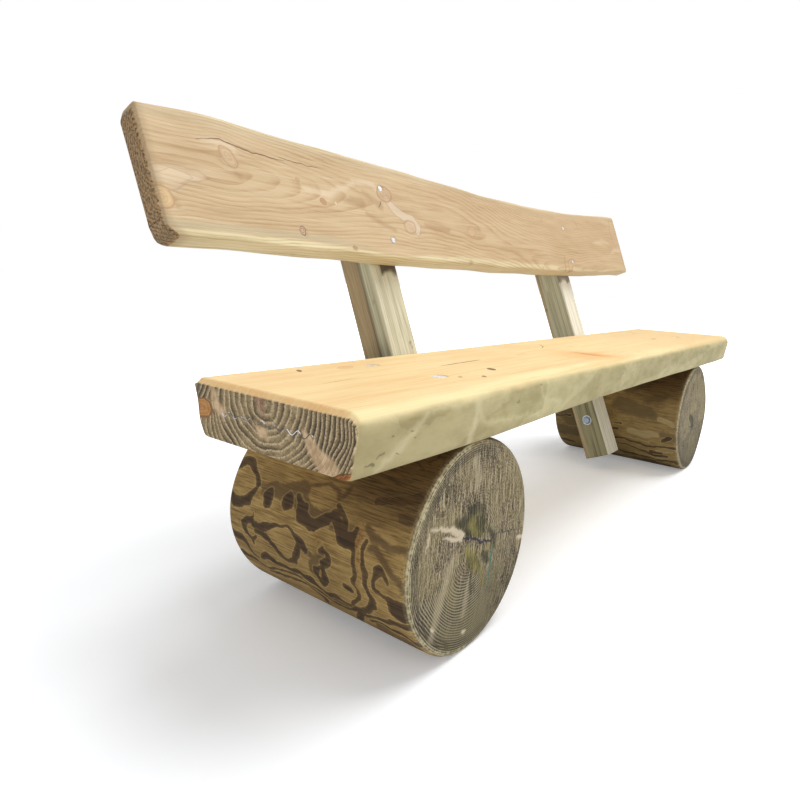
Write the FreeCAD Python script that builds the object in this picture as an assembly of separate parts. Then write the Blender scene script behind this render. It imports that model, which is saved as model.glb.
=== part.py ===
import FreeCAD, Part
import math
import os

# Rustic log bench: a thick plank seat on two round logs, with a plank back on two leaning posts.
# Millimetres. +X runs along the bench, to the right of a person who stands in front of it.
# +Y points to the back, +Z up. The origin is on the floor, under the middle of the whole bench.

V = FreeCAD.Vector

# Seat plank. Its depth runs from the front edge to the front faces of the posts, at the top level.
seat_length = 2000.0
seat_depth = 370.0
seat_thickness = 90.0
seat_front_round = 24.0
seat_rear_round = 11.0
seat_low_front_chamfer = 11.0
seat_low_rear_chamfer = 7.0
seat_end_chamfer = 9.0

# Hewn front edge of the seat: places along the half length, and distances in front of the
# middle of the depth, all as shares.
edge_station_shares = (-1.0, -0.75, -0.5, -0.25, 0.0, 0.35, 0.7, 1.0)
front_top_shares = (0.945, 0.935, 0.9, 0.945, 0.965, 0.98, 1.0, 0.995)
front_low_shares = (0.865, 0.915, 0.89, 0.845, 0.835, 0.865, 0.91, 0.925)

# Logs, lying from front to back. They are planed flat under the seat and where they stand.
log_radius = 183.0
log_flat_depth = 3.0
log_end_round = 12.0
left_log_length = 425.0
right_log_length = 440.0
left_log_front_inset = 24.0
right_log_front_inset = 27.0
left_log_end_inset = 294.0
right_log_end_inset = 337.0
left_log_side_share = 0.967
right_log_side_share = 0.989
left_log_outer_share = 0.98
right_log_outer_share = 1.02

# Section of a log: distances from its axis as shares of the radius, by equal steps from the side
# that faces the post to the top, from there to the outer side, and on past the bottom.
rise_shares = (0.978, 0.985)
crown_shares = (0.992, 0.975)
fall_shares = (0.968, 0.984)
foot_shares = (0.99, 0.979)

# Posts: square timbers that lean back with the rear edge of the seat.
lean = 21.7
post_side = 85.0
post_edge_round = 6.0
post_below_seat = 417.0
post_above_seat = 402.0
housing_depth = 3.0
housing_clearance = 0.5

# Back plank, screwed to the front of the posts. Distances up the slope start at the seat's top.
back_thickness = 48.0
back_width = 230.0
back_gap = 205.0
back_left_overhang = 30.0
back_right_inset = 30.0
back_top_round = 14.0
back_low_round = 5.0
back_end_chamfer = 7.0
back_corner_cut = 10.0

# Edges of the back plank: places along its half length, and heights as shares of its width.
back_station_shares = (-1.0, -0.9, -0.7, -0.4, -0.15, 0.1, 0.4, 0.7, 0.9, 1.0)
back_top_shares = (0.985, 1.02, 1.01, 0.987, 0.959, 0.946, 0.974, 1.052, 1.135, 1.17)
back_low_shares = (0.02, 0.022, 0.02, -0.004, 0.0, 0.004, 0.018, 0.055, 0.1, 0.11)
back_left_lean_share = 0.05
back_right_lean_share = 0.06

# A face counts as an end of the back plank when its normal has at least this share along X.
end_share = 0.9

# Seat screws: coach screws with a low domed head, let into the seat over each log.
seat_screw_head_radius = 15.0
seat_screw_head_rim = 1.5
seat_screw_dome = 1.3
seat_screw_dome_shares = (1.0, 0.85, 0.65, 0.4)
seat_screw_recess = 3.0
seat_screw_recess_clearance = 1.0
seat_screw_radius = 6.0
seat_screw_depth_in_log = 153.0
left_seat_screw_offset = 22.0
right_seat_screw_offset = 45.0
seat_screw_rear_inset = 79.0
seat_screw_pitch = 161.0

# Hexagon-head coach screws and washers, through each post into the log and into the seat.
coach_radius = 6.0
coach_across_flats = 19.0
coach_head_height = 8.0
coach_depth_in_log = 92.5
coach_log_drop = 14.0
coach_depth_in_seat = 72.5
coach_seat_drop = 64.0
washer_radius = 16.0
washer_thickness = 2.5
washer_clearance = 0.5

# Countersunk screws of the back plank.
back_screw_radius = 3.0
back_screw_head_radius = 6.0
back_screw_head_depth = 3.5
back_screw_sink = 1.0
back_screw_depth_in_post = 53.0
back_screw_low_inset = 42.0
back_screw_pitch = 122.0

# Corrugated steel strips, driven into the end grain of the seat to hold the heart closed.
strip_waves = 8
strip_pitch = 25.0
strip_height = 10.0
strip_thickness = 1.2
strip_width = 25.0
strip_proud = 0.6
strip_drop = 44.0
strip_rear_inset = 79.0

# Clearance of a screw or strip in its hole, the run of a cutter past a face, and the distance
# within which two places count as the same.
hole_clearance = 0.15
overrun = 5.0
sameness = 0.05

# Derived places.
log_axis_height = log_radius - log_flat_depth
seat_bottom = log_axis_height + log_axis_height
seat_top = seat_bottom + seat_thickness
lean_sine = math.sin(math.radians(lean))
lean_cosine = math.cos(math.radians(lean))
lean_tangent = lean_sine / lean_cosine
overall_depth = seat_depth + post_above_seat * lean_sine + post_side * lean_cosine
overall_length = back_left_overhang + seat_length
seat_left = back_left_overhang - overall_length / 2
seat_right = seat_left + seat_length
seat_front = -overall_depth / 2
seat_rear = seat_front + seat_depth
half_depth = seat_depth / 2
back_left = seat_left - back_left_overhang
back_right = seat_right - back_right_inset

LEFT_LOG = {
    "name": "left", "axis": seat_left + left_log_end_inset, "towards_post": 1,
    "side_share": left_log_side_share, "outer_share": left_log_outer_share,
    "front": seat_front + left_log_front_inset, "length": left_log_length,
    "seat_screws": seat_left + left_log_end_inset + left_seat_screw_offset,
}
RIGHT_LOG = {
    "name": "right", "axis": seat_right - right_log_end_inset, "towards_post": -1,
    "side_share": right_log_side_share, "outer_share": right_log_outer_share,
    "front": seat_front + right_log_front_inset, "length": right_log_length,
    "seat_screws": seat_right - right_log_end_inset + right_seat_screw_offset,
}
LOGS = (LEFT_LOG, RIGHT_LOG)

# The leaning frame: its Y is square to the posts, to the back, and its Z runs up along them.
# Its origin is where the front faces of the posts meet the level of the seat's top.
LEANING = FreeCAD.Placement(V(0, seat_rear, seat_top), FreeCAD.Rotation(V(1, 0, 0), -lean))


def leaned(shape):
    """Carry a shape from the leaning frame to the bench's frame."""
    shape.Placement = LEANING.multiply(shape.Placement)
    return shape


def box(low, high):
    """Box between two opposite corners."""
    size = high.sub(low)
    return Part.makeBox(size.x, size.y, size.z, low)


def spline(points):
    """Edge along a smooth curve through the points."""
    curve = Part.BSplineCurve()
    curve.interpolate(points)
    return curve.toShape()


def edges_where(shape, test):
    """Edges of the shape whose ends and middle all pass the test."""
    picked = []
    for edge in shape.Edges:
        first, last = edge.ParameterRange
        places = [edge.valueAt(first + (last - first) * step / 4) for step in range(5)]
        if all(test(place) for place in places):
            picked.append(edge)
    return picked


def drilled(shape, cutters):
    """The shape with every cutter taken out."""
    for cutter in cutters:
        shape = shape.cut(cutter)
    return shape


def post_face(log):
    """Place along X of the post's face that bears on the log."""
    return log["axis"] + log["towards_post"] * (log_radius * log["side_share"] - housing_depth)


def post_middle(log):
    """Place along X of the middle of the post beside the log."""
    return post_face(log) + log["towards_post"] * post_side / 2


def prism(wire, travel):
    """Solid swept by the flat face inside a wire."""
    solid = Part.Face(wire).extrude(travel)
    if solid.Volume < 0:
        solid.reverse()
    return solid


def turned(points):
    """Solid of revolution about Z, flat on top, from (radius, height) points that start at Z."""
    places = [V(radius, 0, height) for radius, height in points]
    axis_end = V(0, 0, places[-1].z)
    outline = Part.makePolygon([axis_end] + places + [axis_end])
    return Part.Face(outline).revolve(V(0, 0, 0), V(0, 0, 1), 360)


def shank(radius, length, grown=0.0):
    """Outline of a shank under height zero, with a point as long as it is thick."""
    wide = radius + grown
    return [(0, -length - grown), (wide, 2 * radius - length - grown), (wide, 0)]


def aimed(shape, place, direction):
    """Turn a fastener made along Z so that its head end points in the direction."""
    turn = FreeCAD.Placement(place, FreeCAD.Rotation(V(0, 0, 1), direction))
    shape.Placement = turn.multiply(shape.Placement)
    return shape


def seat_blank():
    """Seat plank: hewn front edge, rear edge bevelled to the lean of the posts."""
    middle = (seat_left + seat_right) / 2
    half_length = seat_length / 2
    centre = seat_front + half_depth

    def outline(shares, rear, height):
        front = [V(middle + half_length * along, centre - half_depth * share, height)
                 for along, share in zip(edge_station_shares, shares)]
        left, right = V(seat_left, rear, height), V(seat_right, rear, height)
        sides = [Part.makeLine(front[-1], right), Part.makeLine(right, left),
                 Part.makeLine(left, front[0])]
        return Part.Wire([spline(front)] + sides)

    low = outline(front_low_shares, seat_rear - seat_thickness * lean_tangent, seat_bottom)
    high = outline(front_top_shares, seat_rear, seat_top)
    blank = Part.makeLoft([low, high], True, True)

    def top(place):
        return abs(place.z - seat_top) < sameness

    def bottom(place):
        return abs(place.z - seat_bottom) < sameness

    def front(place):
        return place.y < centre - half_depth / 2

    def rear(place):
        return place.y > centre + half_depth / 2

    blank = blank.makeFillet(seat_front_round, edges_where(blank, lambda p: top(p) and front(p)))
    blank = blank.makeFillet(seat_rear_round, edges_where(blank, lambda p: top(p) and rear(p)))
    blank = blank.makeChamfer(seat_low_front_chamfer,
                              edges_where(blank, lambda p: bottom(p) and front(p)))
    blank = blank.makeChamfer(seat_low_rear_chamfer,
                              edges_where(blank, lambda p: bottom(p) and rear(p)))
    ends = edges_where(blank, lambda p: min(p.x - seat_left, seat_right - p.x) < sameness)
    return blank.makeChamfer(seat_end_chamfer, ends)


def strip(end, inward, grown=0.0):
    """Corrugated strip in an end of the seat: a zigzag ribbon, driven in along the grain."""
    steps = 2 * strip_waves
    rear = seat_rear - strip_rear_inset + grown
    reach = strip_waves * strip_pitch + 2 * grown
    middle = seat_top - strip_drop
    half = strip_thickness / 2 + grown
    crest = strip_height / 2 - strip_thickness / 2
    upper = [V(end, rear - reach * step / steps, middle + half + crest * (-1) ** step)
             for step in range(steps + 1)]
    lower = [place - V(0, 0, 2 * half) for place in reversed(upper)]
    ribbon = Part.makePolygon(upper + lower + upper[:1])
    ribbon.translate(V(-inward * strip_proud, 0, 0))
    return prism(ribbon, V(inward * (strip_width + grown), 0, 0))


def log_solid(log):
    """Log along Y: rounded ends, planed flats at the top and bottom, a housing for the post."""
    shares = (log["side_share"],) + rise_shares + (1,) + crown_shares
    shares = shares + (log["outer_share"],) + fall_shares + (1,) + foot_shares

    def section(inset, place):
        points = []
        for number, share in enumerate(shares):
            angle = 2 * math.pi * number / len(shares)
            reach = log_radius * share - inset
            points.append(V(log["axis"] + log["towards_post"] * reach * math.cos(angle), place,
                            log_axis_height + reach * math.sin(angle)))
        curve = Part.BSplineCurve()
        curve.interpolate(Points=points, PeriodicFlag=True)
        return Part.Wire([curve.toShape()])

    quarter = [math.radians(angle) for angle in (0, 30, 60, 90)]
    near = [section(log_end_round * (1 - math.sin(turn)),
                    log["front"] + log_end_round * (1 - math.cos(turn))) for turn in quarter]
    far = [section(log_end_round * (1 - math.sin(turn)),
                   log["front"] + log["length"] - log_end_round * (1 - math.cos(turn)))
           for turn in reversed(quarter)]
    body = prism(near[-1], V(0, log["length"] - 2 * log_end_round, 0))
    solid = body.fuse([Part.makeLoft(sections, True, True) for sections in (near, far)])
    slab = box(V(log["axis"] - 2 * log_radius, log["front"] - overrun, 0),
               V(log["axis"] + 2 * log_radius, log["front"] + log["length"] + overrun, seat_bottom))
    solid = solid.common(slab)
    return solid.cut(housing(log))


def housing(log):
    """Space of the post's housing in the side of the log, parallel to the post."""
    bearing = post_face(log)
    outside = bearing + log["towards_post"] * post_side
    return leaned(box(V(min(bearing, outside), -housing_clearance, -2 * post_below_seat),
                      V(max(bearing, outside), post_side + housing_clearance, post_above_seat)))


def post_solid(log):
    """Square post beside the log, with eased long edges and square-cut ends."""
    bearing = post_face(log)
    inner = bearing + log["towards_post"] * post_side
    timber = box(V(min(bearing, inner), 0, -post_below_seat),
                 V(max(bearing, inner), post_side, post_above_seat))
    long_edges = edges_where(timber, lambda p: p.z < post_above_seat + overrun)
    long_edges = [edge for edge in long_edges if edge.Length > post_side + overrun]
    return leaned(timber.makeFillet(post_edge_round, long_edges))


def back_blank():
    """Back plank in the leaning frame, its front face forward of the posts."""
    middle = (back_left + back_right) / 2
    half_length = (back_right - back_left) / 2

    def edge_points(shares):
        return [V(middle + half_length * along, 0, back_gap + back_width * share)
                for along, share in zip(back_station_shares, shares)]

    top, low = edge_points(back_top_shares), edge_points(back_low_shares)
    low[0] = low[0] + V(back_width * back_left_lean_share, 0, 0)
    low[-1] = low[-1] - V(back_width * back_right_lean_share, 0, 0)
    side_right = [low[-1], top[-1]]
    side_left = [top[0], low[0]]
    for side in (side_right, side_left):
        cut = side[1].sub(side[0]).normalize().multiply(back_corner_cut)
        side[0], side[1] = side[0].add(cut), side[1].sub(cut)
    for row in (low, top):
        row[0] = row[0].add(V(back_corner_cut, 0, 0))
        row[-1] = row[-1].sub(V(back_corner_cut, 0, 0))
    right = Part.makePolygon([low[-1]] + side_right + [top[-1]])
    left = Part.makePolygon([top[0]] + side_left + [low[0]])
    outline = Part.Wire([spline(low)] + right.Edges + [spline(top[::-1])] + left.Edges)
    blank = prism(outline, V(0, -back_thickness, 0))
    upright = [edge for face in blank.Faces if abs(face.normalAt(0, 0).x) > end_share
               for edge in face.Edges if edge.Length > back_width / 2]
    blank = blank.makeChamfer(back_end_chamfer, upright)

    def long_edges(upper):
        return [edge for edge in blank.Edges if edge.Length > half_length
                and (edge.CenterOfMass.z > back_gap + back_width / 2) == upper]

    blank = blank.makeFillet(back_top_round, long_edges(True))
    blank = blank.makeFillet(back_low_round, long_edges(False))
    return leaned(blank)


def on_post(log, height):
    """Place on the middle line of the post beside the log, at a height above the floor."""
    back = post_side / 2
    along = (height - seat_top + back * lean_sine) / lean_cosine
    return V(post_middle(log), seat_rear + along * lean_sine + back * lean_cosine, height)


def seat_screw(log, row):
    """Domed coach screw through the seat into the log, and the hole that takes it."""
    length = seat_thickness - seat_screw_recess + seat_screw_depth_in_log
    head = [(seat_screw_head_radius, 0)]
    head += [(seat_screw_head_radius * share,
              seat_screw_head_rim + seat_screw_dome * (1 - share * share))
             for share in seat_screw_dome_shares]
    recess_radius = seat_screw_head_radius + seat_screw_recess_clearance
    recess = [(recess_radius, 0), (recess_radius, seat_screw_recess + overrun)]
    place = V(log["seat_screws"],
              seat_rear - seat_screw_rear_inset - row * seat_screw_pitch,
              seat_top - seat_screw_recess)
    screw = turned(shank(seat_screw_radius, length) + head)
    hole = turned(shank(seat_screw_radius, length, hole_clearance) + recess)
    return aimed(screw, place, V(0, 0, 1)), aimed(hole, place, V(0, 0, 1))


def coach_screw(grip, depth):
    """Hexagon-head coach screw, its washer, and the hole for its shank, all along Z.

    The washer lies on height zero and the screw runs down through the grip and into the depth.
    """
    length = washer_thickness + grip + depth
    corner = coach_across_flats / math.sqrt(3)
    ring = [V(corner * math.cos(math.pi * side / 3), corner * math.sin(math.pi * side / 3), 0)
            for side in range(7)]
    head = prism(Part.makePolygon(ring), V(0, 0, coach_head_height))
    bevel = corner - coach_across_flats / 2
    crown = turned([(0, 0), (corner, 0), (corner, coach_head_height - bevel),
                    (coach_across_flats / 2, coach_head_height)])
    screw = head.common(crown).fuse(turned(shank(coach_radius, length))).removeSplitter()
    screw.translate(V(0, 0, washer_thickness))
    washer = Part.makeCylinder(washer_radius, washer_thickness)
    washer = washer.cut(Part.makeCylinder(coach_radius + washer_clearance, washer_thickness))
    hole = turned(shank(coach_radius, length, hole_clearance))
    hole.translate(V(0, 0, washer_thickness))
    return screw, washer, hole


def log_fixing(log):
    """Screw, washer and hole from the post's free side through the post into the log."""
    place = on_post(log, log_axis_height - coach_log_drop)
    place.x = post_face(log) + log["towards_post"] * post_side
    outward = V(log["towards_post"], 0, 0)
    return [aimed(shape, place, outward) for shape in coach_screw(post_side, coach_depth_in_log)]


def seat_fixing(log):
    """Screw, washer and hole from the back of the post into the rear edge of the seat."""
    place = V(post_middle(log), post_side, -coach_seat_drop)
    shapes = coach_screw(post_side, coach_depth_in_seat)
    return [leaned(aimed(shape, place, V(0, 1, 0))) for shape in shapes]


def back_screw(log, row):
    """Countersunk screw through the back plank into the post, and its hole."""
    length = back_thickness - back_screw_sink + back_screw_depth_in_post
    place = V(post_middle(log), back_screw_sink - back_thickness,
              back_gap + back_screw_low_inset + row * back_screw_pitch)

    def cone(grown):
        neck = back_screw_radius + grown
        rim = back_screw_head_radius + grown
        return shank(back_screw_radius, length, grown)[:2] + [(neck, -back_screw_head_depth),
                                                              (rim, 0)]

    mouth = [(back_screw_head_radius + hole_clearance, back_screw_sink + overrun)]
    screw, hole = turned(cone(0)), turned(cone(hole_clearance) + mouth)
    return [leaned(aimed(shape, place, V(0, -1, 0))) for shape in (screw, hole)]


parts = {}
seat, back = seat_blank(), back_blank()
seat_holes, back_holes = [], []
for log in LOGS:
    side = log["name"]
    log_holes, post_holes = [], []
    for row, label in enumerate(("rear", "front")):
        parts["seat_screw_" + side + "_" + label], hole = seat_screw(log, row)
        seat_holes.append(hole)
        log_holes.append(hole)
    for row, label in enumerate(("low", "high")):
        parts["back_screw_" + side + "_" + label], hole = back_screw(log, row)
        back_holes.append(hole)
        post_holes.append(hole)
    parts["log_coach_screw_" + side], parts["log_washer_" + side], hole = log_fixing(log)
    log_holes.append(hole)
    post_holes.append(hole)
    parts["seat_coach_screw_" + side], parts["seat_washer_" + side], hole = seat_fixing(log)
    seat_holes.append(hole)
    post_holes.append(hole)
    parts["log_" + side] = drilled(log_solid(log), log_holes)
    parts["post_" + side] = drilled(post_solid(log), post_holes)

for side, end, inward in (("left", seat_left, 1), ("right", seat_right, -1)):
    parts["split_strip_" + side] = strip(end, inward)
    seat_holes.append(strip(end, inward, hole_clearance))

parts["seat_plank"] = drilled(seat, seat_holes)
parts["back_plank"] = drilled(back, back_holes)

os.makedirs("parts", exist_ok=True)
for name, shape in parts.items():
    shape.exportStep("parts/" + name + ".step")
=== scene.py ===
import math

import bpy
import numpy as np
from mathutils import Matrix, Vector


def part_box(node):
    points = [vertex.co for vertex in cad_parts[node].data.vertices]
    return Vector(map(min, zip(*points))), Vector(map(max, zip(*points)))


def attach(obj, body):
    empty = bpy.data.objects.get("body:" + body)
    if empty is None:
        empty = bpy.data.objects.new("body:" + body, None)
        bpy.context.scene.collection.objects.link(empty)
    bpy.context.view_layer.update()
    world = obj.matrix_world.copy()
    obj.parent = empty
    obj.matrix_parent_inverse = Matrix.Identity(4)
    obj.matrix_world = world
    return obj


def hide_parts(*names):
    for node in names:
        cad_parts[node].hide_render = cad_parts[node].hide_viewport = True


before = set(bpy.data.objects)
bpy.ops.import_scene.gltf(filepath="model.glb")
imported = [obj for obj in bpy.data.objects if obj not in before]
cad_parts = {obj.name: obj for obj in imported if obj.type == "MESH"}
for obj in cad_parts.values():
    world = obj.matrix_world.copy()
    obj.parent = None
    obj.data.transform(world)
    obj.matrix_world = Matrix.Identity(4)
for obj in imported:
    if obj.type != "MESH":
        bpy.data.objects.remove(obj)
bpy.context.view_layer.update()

bl_info = {
    "name": "Rustic log bench",
    "version": (1, 0, 0),
    "blender": (4, 5, 0),
    "location": "3D View > Sidebar > Bench",
    "description": "Skins, finishes and stage for a plank seat on two logs with a leaning back",
    "category": "Object",
}

# Sizes of the bench in metres. Places "up" are measured along the leaning posts, and "back"
# square to them, both from the seat's upper rear edge.
LEAN = math.radians(21.7)
LEANING = (LEAN, 0.0, 0.0)
SEAT_TOP, SEAT_REAR, SEAT_THICK = 0.45, 0.071193, 0.09
BACK_THICK, BACK_HEAD, BACK_RING = 0.048, 0.435, 0.0065
BACK_SCREWS_X, BACK_SCREWS_UP = (-0.4745, 0.4575), (0.247, 0.369)
SCREW_RECESS, RECESS_DEPTH = 0.0158, 0.003
POST_WIDE, POST_FOOT, POST_HEAD = 0.085, -0.417, 0.402
LOG_RADIUS, LOG_LEVEL, LOG_HEIGHT = 0.183, 0.18, 0.36
YEAR_RING = 0.0046
ARC = 3.19  # millimetres round a log for each degree
UP_ZERO = 0.444434  # the seat's upper rear edge on an axis that leans like the posts
# Camera and floor.
CAMERA_RIGHT, CAMERA_AHEAD = (0.5883, -0.8073, 0.0470), (0.8046, 0.5787, -0.1330)
CAMERA_SHIFT = (-0.06194, -0.0488)
DIM_MIDDLE = (-0.25, 0.0, 0.0)
FLOOR_HALF = 30.0
AIM = (0.0, 0.0, 0.4)
BACKWARD = np.array([0.0, math.cos(LEAN), -math.sin(LEAN)])
UPWARD = np.array([0.0, math.sin(LEAN), math.cos(LEAN)])


def tone(red, green, blue):
    """Screen colour from 0 to 255 as the linear light that a shader takes."""
    shares = np.array([red, green, blue]) / 255.0
    linear = np.where(shares <= 0.04045, shares / 12.92, ((shares + 0.055) / 1.055) ** 2.4)
    return tuple(float(share) for share in linear)


def length(name, default, description):
    return bpy.props.FloatProperty(name=name, description=description, default=default,
                                   unit="LENGTH", subtype="DISTANCE")


def colour(name, default, description):
    return bpy.props.FloatVectorProperty(name=name, description=description, default=default,
                                         size=3, min=0.0, max=1.0, subtype="COLOR")


class BenchShapes(bpy.types.PropertyGroup):
    """Sizes that shape the wooden skins and their grain."""
    seat_front_round: length("Seat front rounding", 0.024, "Radius of the seat's upper front edge")
    seat_low_round: length("Seat lower rounding", 0.013, "Radius of the seat's lower front edge")
    seat_rear_round: length("Seat rear rounding", 0.011, "Radius of the seat's rear edges")
    seat_end_cut: length("Seat end bevel", 0.009, "Bevel around the ends of the seat")
    back_round: length("Back rounding", 0.013, "Radius of the back plank's long edges")
    back_end_cut: length("Back end bevel", 0.007, "Bevel around the ends of the back plank")
    post_round: length("Post rounding", 0.003, "Radius of the posts' long edges")
    log_end_round: length("Log end rounding", 0.012, "Rounding where a log's side meets its end")
    ring_width: length("Ring width", 0.0115, "Width of a growth ring near the heart of the seat")


class BenchFinishes(bpy.types.PropertyGroup):
    """Colours of the wood and the steel."""
    seat_light: colour("Seat light", tone(240, 214, 160), "Early wood on the seat's top")
    seat_dark: colour("Seat dark", tone(232, 192, 134), "Late wood on the seat's top")
    edge_light: colour("Hewn edge light", tone(196, 184, 138), "Peeled face along the seat's front")
    edge_dark: colour("Hewn edge dark", tone(160, 148, 102), "Lower layers of the peeled face")
    end_light: colour("End grain light", tone(196, 172, 130), "Early wood on the seat's ends")
    end_mid: colour("End grain middle tone", tone(152, 132, 96), "Weathered seat ends")
    end_dark: colour("End grain dark", tone(58, 47, 36), "Late wood on the seat's ends")
    back_light: colour("Back light", tone(212, 188, 150), "Early wood on the back plank")
    back_dark: colour("Back dark", tone(182, 150, 110), "Late wood on the back plank")
    post_light: colour("Post light", tone(214, 208, 178), "Sapwood of the posts")
    post_dark: colour("Post dark", tone(150, 128, 96), "Heartwood of the posts")
    log_light: colour("Log light", tone(176, 146, 90), "Early wood on the logs' sides")
    log_mid: colour("Log middle tone", tone(140, 112, 64), "Weathered wood on the logs' sides")
    log_dark: colour("Log dark", tone(56, 43, 28), "Late wood on the logs' sides")
    log_end: colour("Log end", tone(142, 127, 96), "Sawn ends of the logs")
    zinc: colour("Zinc", tone(242, 244, 248), "Zinc plating of the screws and washers")


class BenchStage(bpy.types.PropertyGroup):
    """Camera, lamps and floor."""
    camera_place: bpy.props.FloatVectorProperty(
        name="Camera place", description="Where the camera stands", size=3, unit="LENGTH",
        default=(-1.50403, -0.78995, 0.61709), subtype="TRANSLATION")
    focal_length: bpy.props.FloatProperty(
        name="Focal length", description="Focal length on a 36 mm wide sensor, in millimetres",
        default=27.349)
    lamp_power: bpy.props.FloatProperty(
        name="Lamp power", description="Power of the soft main lamp", default=392.0,
        unit="POWER")
    sky_strength: bpy.props.FloatProperty(
        name="Sky strength", description="Strength of the even light from all sides",
        default=0.55, min=0.0)
    floor: colour("Floor", (0.90, 0.92, 0.95), "Colour of the floor")


def ripple(points, reach, seed, waves=18):
    """Smooth random field of about unit height.

    It is a sum of plane waves in random directions. Their lengths lie around reach, in metres,
    given for all axes or one by one.
    """
    rng = np.random.default_rng(seed)
    ways = rng.normal(size=(waves, 3))
    ways /= np.linalg.norm(ways, axis=1, keepdims=True)
    ways *= 2 * np.pi / rng.uniform(0.7, 1.8, (waves, 1)) / np.asarray(reach)
    phases = rng.uniform(0, 2 * np.pi, waves)
    return np.cos(points @ ways.T + phases).sum(-1) * math.sqrt(2 / waves)


def smooth(x, stations, heights):
    """Curve through given heights: Hermite cubics whose slopes are those of the neighbours."""
    stations, heights = np.asarray(stations, float), np.asarray(heights, float)
    slopes = np.gradient(heights, stations)
    cell = np.clip(np.searchsorted(stations, x) - 1, 0, len(stations) - 2)
    span = stations[cell + 1] - stations[cell]
    t = np.clip((x - stations[cell]) / span, 0, 1)
    return ((2 * t**3 - 3 * t**2 + 1) * heights[cell] + (t**3 - 2 * t**2 + t) * span * slopes[cell]
            + (3 * t**2 - 2 * t**3) * heights[cell + 1] + (t**3 - t**2) * span * slopes[cell + 1])


def step(low, high, x):
    """Smooth step: 0 under low, 1 over high, and a cubic between them."""
    t = np.clip((x - low) / (high - low), 0, 1)
    return t * t * (3 - 2 * t)


def oval(u, v, row):
    """Distance from the middle of an oval in shares of its half axes, which may be turned."""
    middle_u, middle_v, half_u, half_v, turn = row[:5]
    angle = math.radians(turn)
    du, dv = u - middle_u, v - middle_v
    along = du * math.cos(angle) + dv * math.sin(angle)
    across = dv * math.cos(angle) - du * math.sin(angle)
    return np.hypot(along / half_u, across / half_v)


def patches(u, v, table):
    """Sum of soft ovals, each its weight over one plus the fourth power of the oval distance."""
    return sum(row[5] / (1 + oval(u, v, row) ** 4) for row in table)


def spots(u, v, table, edge=0.25):
    """Strongest of several ovals with crisp rims: 1 inside, 0 outside."""
    return np.max([row[5] * step(1 + edge, 1 - edge, oval(u, v, row)) for row in table], axis=0)


def ink(u, v, table):
    """Depth inside a drawing of tapered strokes: at most the local half width, and below 0 outside.

    Each stroke is a row of (u, v, half width). The depth is the half width, which runs straight
    from one point to the next, less the distance from the line between them.
    """
    best = np.full(np.shape(u), -1e3)
    for line in table:
        for (u0, v0, w0), (u1, v1, w1) in zip(line, line[1:]):
            du, dv = u1 - u0, v1 - v0
            t = np.clip(((u - u0) * du + (v - v0) * dv) / (du * du + dv * dv), 0, 1)
            away = np.hypot(u - u0 - t * du, v - v0 - t * dv)
            best = np.maximum(best, w0 + (w1 - w0) * t - away)
    return best


def rounded(corners, radii, sides, arc=3):
    """Rounded four-cornered sections: points and outward normals, one row for each station.

    corners: (stations, 4, 2). sides: for each side, the places of its inner points as shares,
    (stations, count). Each corner is an arc about the point that is one radius from both of its
    sides, and half of the arc's points belong to each side.
    """
    ahead = np.roll(corners, -1, 1) - corners
    ahead /= np.linalg.norm(ahead, axis=2, keepdims=True)
    normals = np.stack([ahead[..., 1], -ahead[..., 0]], -1)
    before = np.roll(normals, 1, 1)
    bisector = normals + before
    bisector /= (bisector * normals).sum(-1, keepdims=True)
    radii = np.asarray(radii)[None, :, None]
    middles = corners - bisector * radii
    points, outward = [], []
    for side in range(4):
        last = (side + 1) % 4
        for share in np.linspace(0.5, 1, arc + 1):
            turn = before[:, side] * (1 - share) + normals[:, side] * share
            turn /= np.linalg.norm(turn, axis=1, keepdims=True)
            points.append(middles[:, side] + turn * radii[:, side])
            outward.append(turn)
        start = middles[:, side] + normals[:, side] * radii[:, side]
        end = middles[:, last] + normals[:, side] * radii[:, last]
        for share in sides[side].T:
            points.append(start + (end - start) * share[:, None])
            outward.append(normals[:, side])
        for share in np.linspace(0, 0.5, arc + 1)[:-1]:
            turn = normals[:, side] * (1 - share) + normals[:, last] * share
            turn /= np.linalg.norm(turn, axis=1, keepdims=True)
            points.append(middles[:, last] + turn * radii[:, last])
            outward.append(turn)
    return np.stack(points, 1), np.stack(outward, 1)


def quads(grid):
    """Faces between the neighbours of a grid of point numbers."""
    return np.stack([grid[:-1, :-1], grid[:-1, 1:], grid[1:, 1:], grid[1:, :-1]], -1).reshape(-1, 4)


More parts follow.
